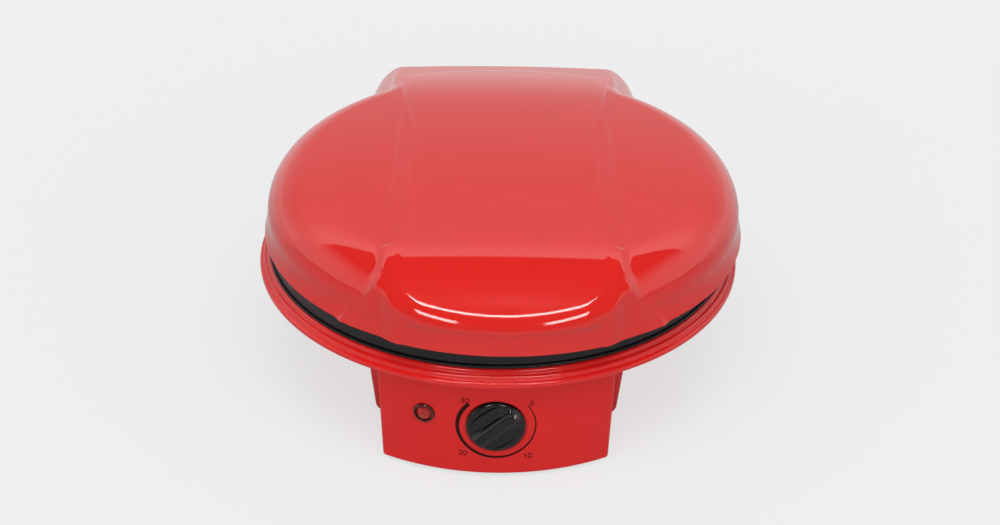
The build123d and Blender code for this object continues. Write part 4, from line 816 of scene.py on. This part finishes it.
def make_pointer():
    """Small pale mark let into one end of the knob's bar."""
    w = MARK_HALF_WIDTH
    outline = ((-w, MARK_INNER), (w, MARK_INNER), (w, MARK_OUTER), (-w, MARK_OUTER))
    points = [knob_front(*corner, lift) for lift in (MARK_LIFT, -MARK_SINK) for corner in outline]
    faces = [(0, 1, 2, 3), (7, 6, 5, 4)]
    faces += [(k, (k + 1) % 4, 4 + (k + 1) % 4, 4 + k) for k in range(4)]
    return frame_piece("dial_pointer", points, faces, "knob", "mark_white", replaced=["knob_pointer"])


def make_shaft():
    """Timer shaft, which ends inside the knob's bar."""
    shaft_low, shaft_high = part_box("timer_shaft")
    radius = (shaft_high.x - shaft_low.x) / 2 / MM
    length = shaft_high.y / MM - (knob_back - bar_top + SHAFT_CAP)
    c = SHAFT_CHAMFER
    outline = [(0, length), (radius - c, length), (radius, length - c), (radius, c), (radius - c, 0), (0, 0)]
    centre = Vector((0, shaft_high.y / MM, knob_z))
    across, up, out = Vector((1, 0, 0)), Vector((0, 0, 1)), Vector((0, -1, 0))
    points, faces = turned(outline, SHAFT_SEGMENTS, centre, across, up, out)
    return frame_piece("dial_shaft", points, faces, "knob", "zinc", replaced=["timer_shaft"])


# Materials

RELIEF = (400.0, 0.1, 0.0001)
PATCH_SHARE = 0.4


def shader(name):
    """New material, with its nodes, links and main shader."""
    material = bpy.data.materials.new(name)
    material.use_nodes = True
    tree = material.node_tree
    return material, tree.nodes, tree.links, tree.nodes["Principled BSDF"]


def noise(node_list, link_list, scale, detail=3.0):
    """Noise texture in object space."""
    texture = node_list.new("ShaderNodeTexNoise")
    texture.inputs["Scale"].default_value = scale
    texture.inputs["Detail"].default_value = detail
    link_list.new(node_list.new("ShaderNodeTexCoord").outputs["Object"], texture.inputs["Vector"])
    return texture.outputs["Fac"]


def ramp_between(node_list, link_list, source, low, high):
    """Value that runs from low to high with a texture."""
    scaler = node_list.new("ShaderNodeMapRange")
    scaler.inputs["From Min"].default_value = 0.3
    scaler.inputs["From Max"].default_value = 0.7
    scaler.inputs["To Min"].default_value = low
    scaler.inputs["To Max"].default_value = high
    link_list.new(source, scaler.inputs["Value"])
    return scaler.outputs["Result"]


def smooth_step(node_list, link_list, source, start, end):
    """Value that rises smoothly from 0 to 1 between two values of its source."""
    step = node_list.new("ShaderNodeMapRange")
    step.interpolation_type = "SMOOTHSTEP"
    step.inputs["From Min"].default_value = start
    step.inputs["From Max"].default_value = end
    link_list.new(source, step.inputs["Value"])
    return step.outputs["Result"]


def maths(node_list, link_list, operation, first, second=0.0):
    """Sum, product or the like of two numbers or sockets."""
    step = node_list.new("ShaderNodeMath")
    step.operation = operation
    for socket, value in zip(step.inputs, (first, second)):
        if isinstance(value, bpy.types.NodeSocket):
            link_list.new(value, socket)
        else:
            socket.default_value = value
    return step.outputs["Value"]


def mixed_colour(node_list, link_list, source, first, second):
    """Colour that runs between two with a texture."""
    mix = node_list.new("ShaderNodeMix")
    mix.data_type = "RGBA"
    mix.inputs["A"].default_value = (*first, 1)
    mix.inputs["B"].default_value = (*second, 1)
    link_list.new(source, mix.inputs["Factor"])
    return mix.outputs["Result"]


def surface(name, first, second, rough, grain, relief=RELIEF, metal=0.0, mirror=0.5):
    """Finish with drifting colour and roughness, and a fine relief of (scale, strength, depth)."""
    material, node_list, link_list, main = shader(name)
    colour = mixed_colour(node_list, link_list, noise(node_list, link_list, grain), first, second)
    link_list.new(colour, main.inputs["Base Color"])
    patches = noise(node_list, link_list, grain * PATCH_SHARE)
    link_list.new(ramp_between(node_list, link_list, patches, *rough), main.inputs["Roughness"])
    scale, strength, depth = relief
    bump = node_list.new("ShaderNodeBump")
    bump.inputs["Strength"].default_value = strength
    bump.inputs["Distance"].default_value = depth
    link_list.new(noise(node_list, link_list, scale, 2.0), bump.inputs["Height"])
    link_list.new(bump.outputs["Normal"], main.inputs["Normal"])
    main.inputs["Metallic"].default_value = metal
    main.inputs["Specular IOR Level"].default_value = mirror
    return material


# Each finish takes its two colours, the ends of its roughness, the scale of its drift and its relief.


def red_finishes():
    """Mouldings and enamelled steel of the casing."""
    lid = (0.70, 0.020, 0.015), (0.66, 0.017, 0.013)
    base = (0.74, 0.015, 0.013), (0.70, 0.012, 0.011)
    return {
        "lid_red": surface("lid_red", *lid, (0.045, 0.075), 30.0, (260.0, 0.04, 0.0001)),
        "housing_red": surface("housing_red", *base, (0.20, 0.26), 40.0, (500.0, 0.1, 0.0001), mirror=0.3),
        "rim_red": surface("rim_red", *base, (0.09, 0.14), 40.0, (300.0, 0.06, 0.0001)),
    }


def panel_finishes():
    """Knob, its mark, the printed dial and the signal lens."""
    black = (0.005, 0.005, 0.006), (0.008, 0.008, 0.010)
    white = (0.40, 0.34, 0.34), (0.46, 0.40, 0.40)
    ink = (0.028, 0.003, 0.003), (0.036, 0.004, 0.004)
    # The bezel's dark red-black is partly its own colour and partly painted shade of the recess round the
    # lens.
    bezel_and_shade = (0.060, 0.004, 0.003), (0.085, 0.006, 0.004)
    lens = (0.34, 0.012, 0.008), (0.46, 0.02, 0.012)
    neon = (0.85, 0.55, 0.4), (0.9, 0.65, 0.5)
    return {
        "knob_black": surface("knob_black", *black, (0.10, 0.16), 120.0, mirror=0.35),
        "mark_white": surface("mark_white", *white, (0.4, 0.5), 300.0),
        "dial_print": surface("dial_print", *ink, (0.4, 0.5), 300.0, mirror=0.1),
        "lens_bezel_painted_shade": surface("lens_bezel_painted_shade", *bezel_and_shade, (0.12, 0.2), 300.0),
        "lens_red": surface("lens_red", *lens, (0.06, 0.12), 300.0),
        "neon_glass": surface("neon_glass", *neon, (0.05, 0.1), 200.0),
    }


def metal_finishes():
    """Sheet, screws and shafts, heater tubes and castings."""
    sheet = (0.62, 0.62, 0.61), (0.55, 0.55, 0.55)
    zinc = (0.60, 0.60, 0.58), (0.52, 0.53, 0.53)
    tube = (0.16, 0.15, 0.14), (0.24, 0.22, 0.20)
    cast = (0.52, 0.52, 0.53), (0.44, 0.44, 0.45)
    rolled, blasted = (700.0, 0.2, 0.0001), (1200.0, 0.4, 0.0002)
    return {
        "bright_steel": surface("bright_steel", *sheet, (0.22, 0.34), 60.0, rolled, metal=1.0),
        "zinc": surface("zinc", *zinc, (0.28, 0.42), 300.0, metal=1.0),
        "heater": surface("heater", *tube, (0.4, 0.6), 150.0, metal=1.0),
        "cast_metal": surface("cast_metal", *cast, (0.4, 0.55), 200.0, blasted, metal=1.0),
    }


def plain_finishes():
    """Non-stick coating, rubber and inner mouldings."""
    coating = (0.010, 0.010, 0.012), (0.016, 0.016, 0.018)
    rubber = (0.018, 0.018, 0.018), (0.028, 0.028, 0.028)
    black = (0.02, 0.02, 0.021), (0.03, 0.03, 0.031)
    white = (0.74, 0.73, 0.69), (0.68, 0.67, 0.63)
    matt = (1500.0, 0.3, 0.0002)
    return {
        "nonstick": surface("nonstick", *coating, (0.30, 0.42), 200.0, (900.0, 0.15, 0.0001), mirror=0.25),
        "rubber_black": surface("rubber_black", *rubber, (0.6, 0.75), 300.0, matt),
        "plastic_black": surface("plastic_black", *black, (0.4, 0.55), 200.0, matt),
        "plastic_white": surface("plastic_white", *white, (0.4, 0.55), 200.0),
    }


NODE_SMOOTH_ANGLE = 32


def dress_nodes(finishes):
    """Gives each CAD node the finish of its slot."""
    for entry in frame["record"]["subparts"]:
        node = nodes[entry["node"]]
        node.data.shade_smooth()
        node.data.set_sharp_from_angle(angle=radians(NODE_SMOOTH_ANGLE))
        node.data.materials.clear()
        node.data.materials.append(finishes[entry["material_slot"]])
        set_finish(node, entry["material_slot"])


# Floor, background and light

BACKGROUND = (0.858, 0.858, 0.862)
NEAR_BACKGROUND = (0.955, 0.96, 0.964)
NEAR_SHARE = 0.7
FADE_START = 0.15
FADE_END = 0.75
MIRROR_FADE = 0.5
FLOOR_REACH = 6.0
FLOOR_TONE = 0.62
FLOOR_ROUGHNESS = 0.9


def make_floor():
    """Pale floor that runs into the background and keeps the object's shadow."""
    mesh = bpy.data.meshes.new("floor")
    r = FLOOR_REACH
    mesh.from_pydata([(-r, -r, 0), (r, -r, 0), (r, r, 0), (-r, r, 0)], [], [(0, 1, 2, 3)])
    floor = bpy.data.objects.new("floor", mesh)
    bpy.context.scene.collection.objects.link(floor)
    material, node_list, link_list, main = shader("floor")
    main.inputs["Base Color"].default_value = (*[FLOOR_TONE] * 3, 1)
    main.inputs["Roughness"].default_value = FLOOR_ROUGHNESS
    main.inputs["Specular IOR Level"].default_value = 0.0
    place_on_floor = node_list.new("ShaderNodeTexCoord").outputs["Object"]
    reach = node_list.new("ShaderNodeVectorMath")
    reach.operation = "LENGTH"
    link_list.new(place_on_floor, reach.inputs[0])
    away = smooth_step(node_list, link_list, reach.outputs["Value"], FADE_START, FADE_END)
    split = node_list.new("ShaderNodeSeparateXYZ")
    link_list.new(place_on_floor, split.inputs["Vector"])
    behind = smooth_step(node_list, link_list, split.outputs["Y"], 0.0, MIRROR_FADE)

    # The camera sees the floor as the background, with the shadow mixed in near the object. Polished and
    # clear pieces see the background only far behind the object.
    path = node_list.new("ShaderNodeLightPath")
    is_camera = path.outputs["Is Camera Ray"]
    mirrored = maths(
        node_list, link_list, "MAXIMUM", path.outputs["Is Glossy Ray"], path.outputs["Is Transmission Ray"]
    )
    mirrored = maths(node_list, link_list, "MULTIPLY", mirrored, behind)
    share = node_list.new("ShaderNodeMix")
    link_list.new(away, share.inputs["Factor"])
    link_list.new(maths(node_list, link_list, "MULTIPLY", is_camera, NEAR_SHARE), share.inputs["A"])
    link_list.new(maths(node_list, link_list, "MAXIMUM", mirrored, is_camera), share.inputs["B"])
    backdrop = node_list.new("ShaderNodeEmission")
    tone = mixed_colour(node_list, link_list, away, NEAR_BACKGROUND, BACKGROUND)
    link_list.new(tone, backdrop.inputs["Color"])
    blend = node_list.new("ShaderNodeMixShader")
    link_list.new(share.outputs["Result"], blend.inputs[0])
    link_list.new(main.outputs["BSDF"], blend.inputs[1])
    link_list.new(backdrop.outputs["Emission"], blend.inputs[2])
    link_list.new(blend.outputs["Shader"], node_list["Material Output"].inputs["Surface"])
    mesh.materials.append(material)


# Brightness that polished surfaces mirror, by the angle up from the horizon behind the object, over the top
# and down to the horizon in front. The tent's pale back and roof end in a bright edge at its dark opening.
TENT = (
    (0, 1.00),
    (14, 0.78),
    (32, 0.70),
    (46, 1.00),
    (60, 1.70),
    (67.5, 1.90),
    (69, 0.08),
    (110, 0.03),
    (150, 0.06),
    (180, 0.20),
)
TENT_BRIGHTEST = 1.9
TENT_SIDE = 1.2
TENT_SIDE_START = 0.72
TENT_SIDE_END = 0.94
SOFT_LIGHT = 0.53


def make_world():
    """Light tent: one tone behind the object, even light on it, and bright back and sides in reflections."""
    world = bpy.data.worlds.new("studio")
    bpy.context.scene.world = world
    world.use_nodes = True
    node_list, link_list = world.node_tree.nodes, world.node_tree.links
    node_list.clear()

    def reckon(operation, first, second=0.0):
        return maths(node_list, link_list, operation, first, second)

    direction = node_list.new("ShaderNodeSeparateXYZ")
    link_list.new(node_list.new("ShaderNodeTexCoord").outputs["Generated"], direction.inputs["Vector"])
    x, y, z = (direction.outputs[axis] for axis in "XYZ")
    ramp = node_list.new("ShaderNodeValToRGB")
    stops = ramp.color_ramp.elements
    while len(stops) < len(TENT):
        stops.new(0.5)
    for stop, (degrees_up, level) in zip(stops, TENT):
        stop.position = degrees_up / 180
        stop.color = (*[level / TENT_BRIGHTEST] * 3, 1)
    angle = reckon("DIVIDE", reckon("ARCTAN2", reckon("ABSOLUTE", z), y), pi)
    link_list.new(angle, ramp.inputs["Fac"])
    roof = reckon("MULTIPLY", ramp.outputs["Color"], TENT_BRIGHTEST)
    side = smooth_step(node_list, link_list, reckon("ABSOLUTE", x), TENT_SIDE_START, TENT_SIDE_END)
    roof_share = reckon("MULTIPLY", roof, reckon("SUBTRACT", 1.0, side))
    mirrored = reckon("ADD", roof_share, reckon("MULTIPLY", side, TENT_SIDE))

    path = node_list.new("ShaderNodeLightPath")
    is_camera, is_glossy = path.outputs["Is Camera Ray"], path.outputs["Is Glossy Ray"]
    level = reckon("ADD", SOFT_LIGHT, reckon("MULTIPLY", is_glossy, reckon("SUBTRACT", mirrored, SOFT_LIGHT)))
    tone = node_list.new("ShaderNodeMix")
    tone.data_type = "RGBA"
    tone.inputs["B"].default_value = (*BACKGROUND, 1)
    link_list.new(is_camera, tone.inputs["Factor"])
    link_list.new(level, tone.inputs["A"])
    light = node_list.new("ShaderNodeBackground")
    link_list.new(tone.outputs["Result"], light.inputs["Color"])
    output = node_list.new("ShaderNodeOutputWorld")
    link_list.new(light.outputs["Background"], output.inputs["Surface"])


LAMP_DISTANCE = 1.5
OBJECT_MIDDLE = (0, 0, 0.12)


def area_light(name, place_at, aim, size, power, glossy):
    """Soft box of a size in metres, turned to its aim, that gives either highlights or plain light."""
    data = bpy.data.lights.new(name, "AREA")
    data.shape = "RECTANGLE"
    data.size, data.size_y = size
    data.energy = power
    lamp = bpy.data.objects.new(name, data)
    bpy.context.scene.collection.objects.link(lamp)
    lamp.location = place_at
    lamp.rotation_mode = "QUATERNION"
    lamp.rotation_quaternion = (Vector(aim) - Vector(place_at)).to_track_quat("-Z", "Y")
    lamp.visible_glossy = glossy
    lamp.visible_diffuse = not glossy
    lamp.visible_camera = False


def highlight(name, elevation, azimuth, size, power):
    """Lamp for highlights, placed by its angle up and its angle round from straight in front, in degrees."""
    up, turn = radians(elevation), radians(azimuth)
    d = LAMP_DISTANCE
    place_at = (d * cos(up) * sin(turn), -d * cos(up) * cos(turn), OBJECT_MIDDLE[2] + d * sin(up))
    area_light(name, place_at, OBJECT_MIDDLE, size, power, glossy=True)


def make_lights():
    """Wide soft light from above and in front, and narrow lamps that draw highlights on polished edges."""
    area_light("overhead", (0, -0.7, 1.8), (0, -0.05, 0.1), (1.5, 0.9), 18.5, glossy=False)
    area_light("front", (0, -2.0, 0.9), (0, -0.1, 0.04), (1.4, 0.5), 6.3, glossy=False)
    highlight("strip", 64, 0, (0.60, 0.16), 5.5)
    for side in (-1, 1):
        highlight("low lamp", 30, side * 20, (0.36, 0.26), 4.5)


make_camera()
finishes = {**red_finishes(), **panel_finishes(), **metal_finishes(), **plain_finishes()}
dress_nodes(finishes)
pieces = (
    make_lid(),
    make_rim(),
    make_dial_print(),
    *make_lens(),
    make_knob(),
    make_pointer(),
    make_shaft(),
)
for piece in pieces:
    own_finish = finishes.get(piece.name)
    piece.data.materials.append(own_finish or finishes[piece["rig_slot"]])
make_floor()
make_world()
make_lights()
bpy.context.scene.view_settings.view_transform = "Standard"
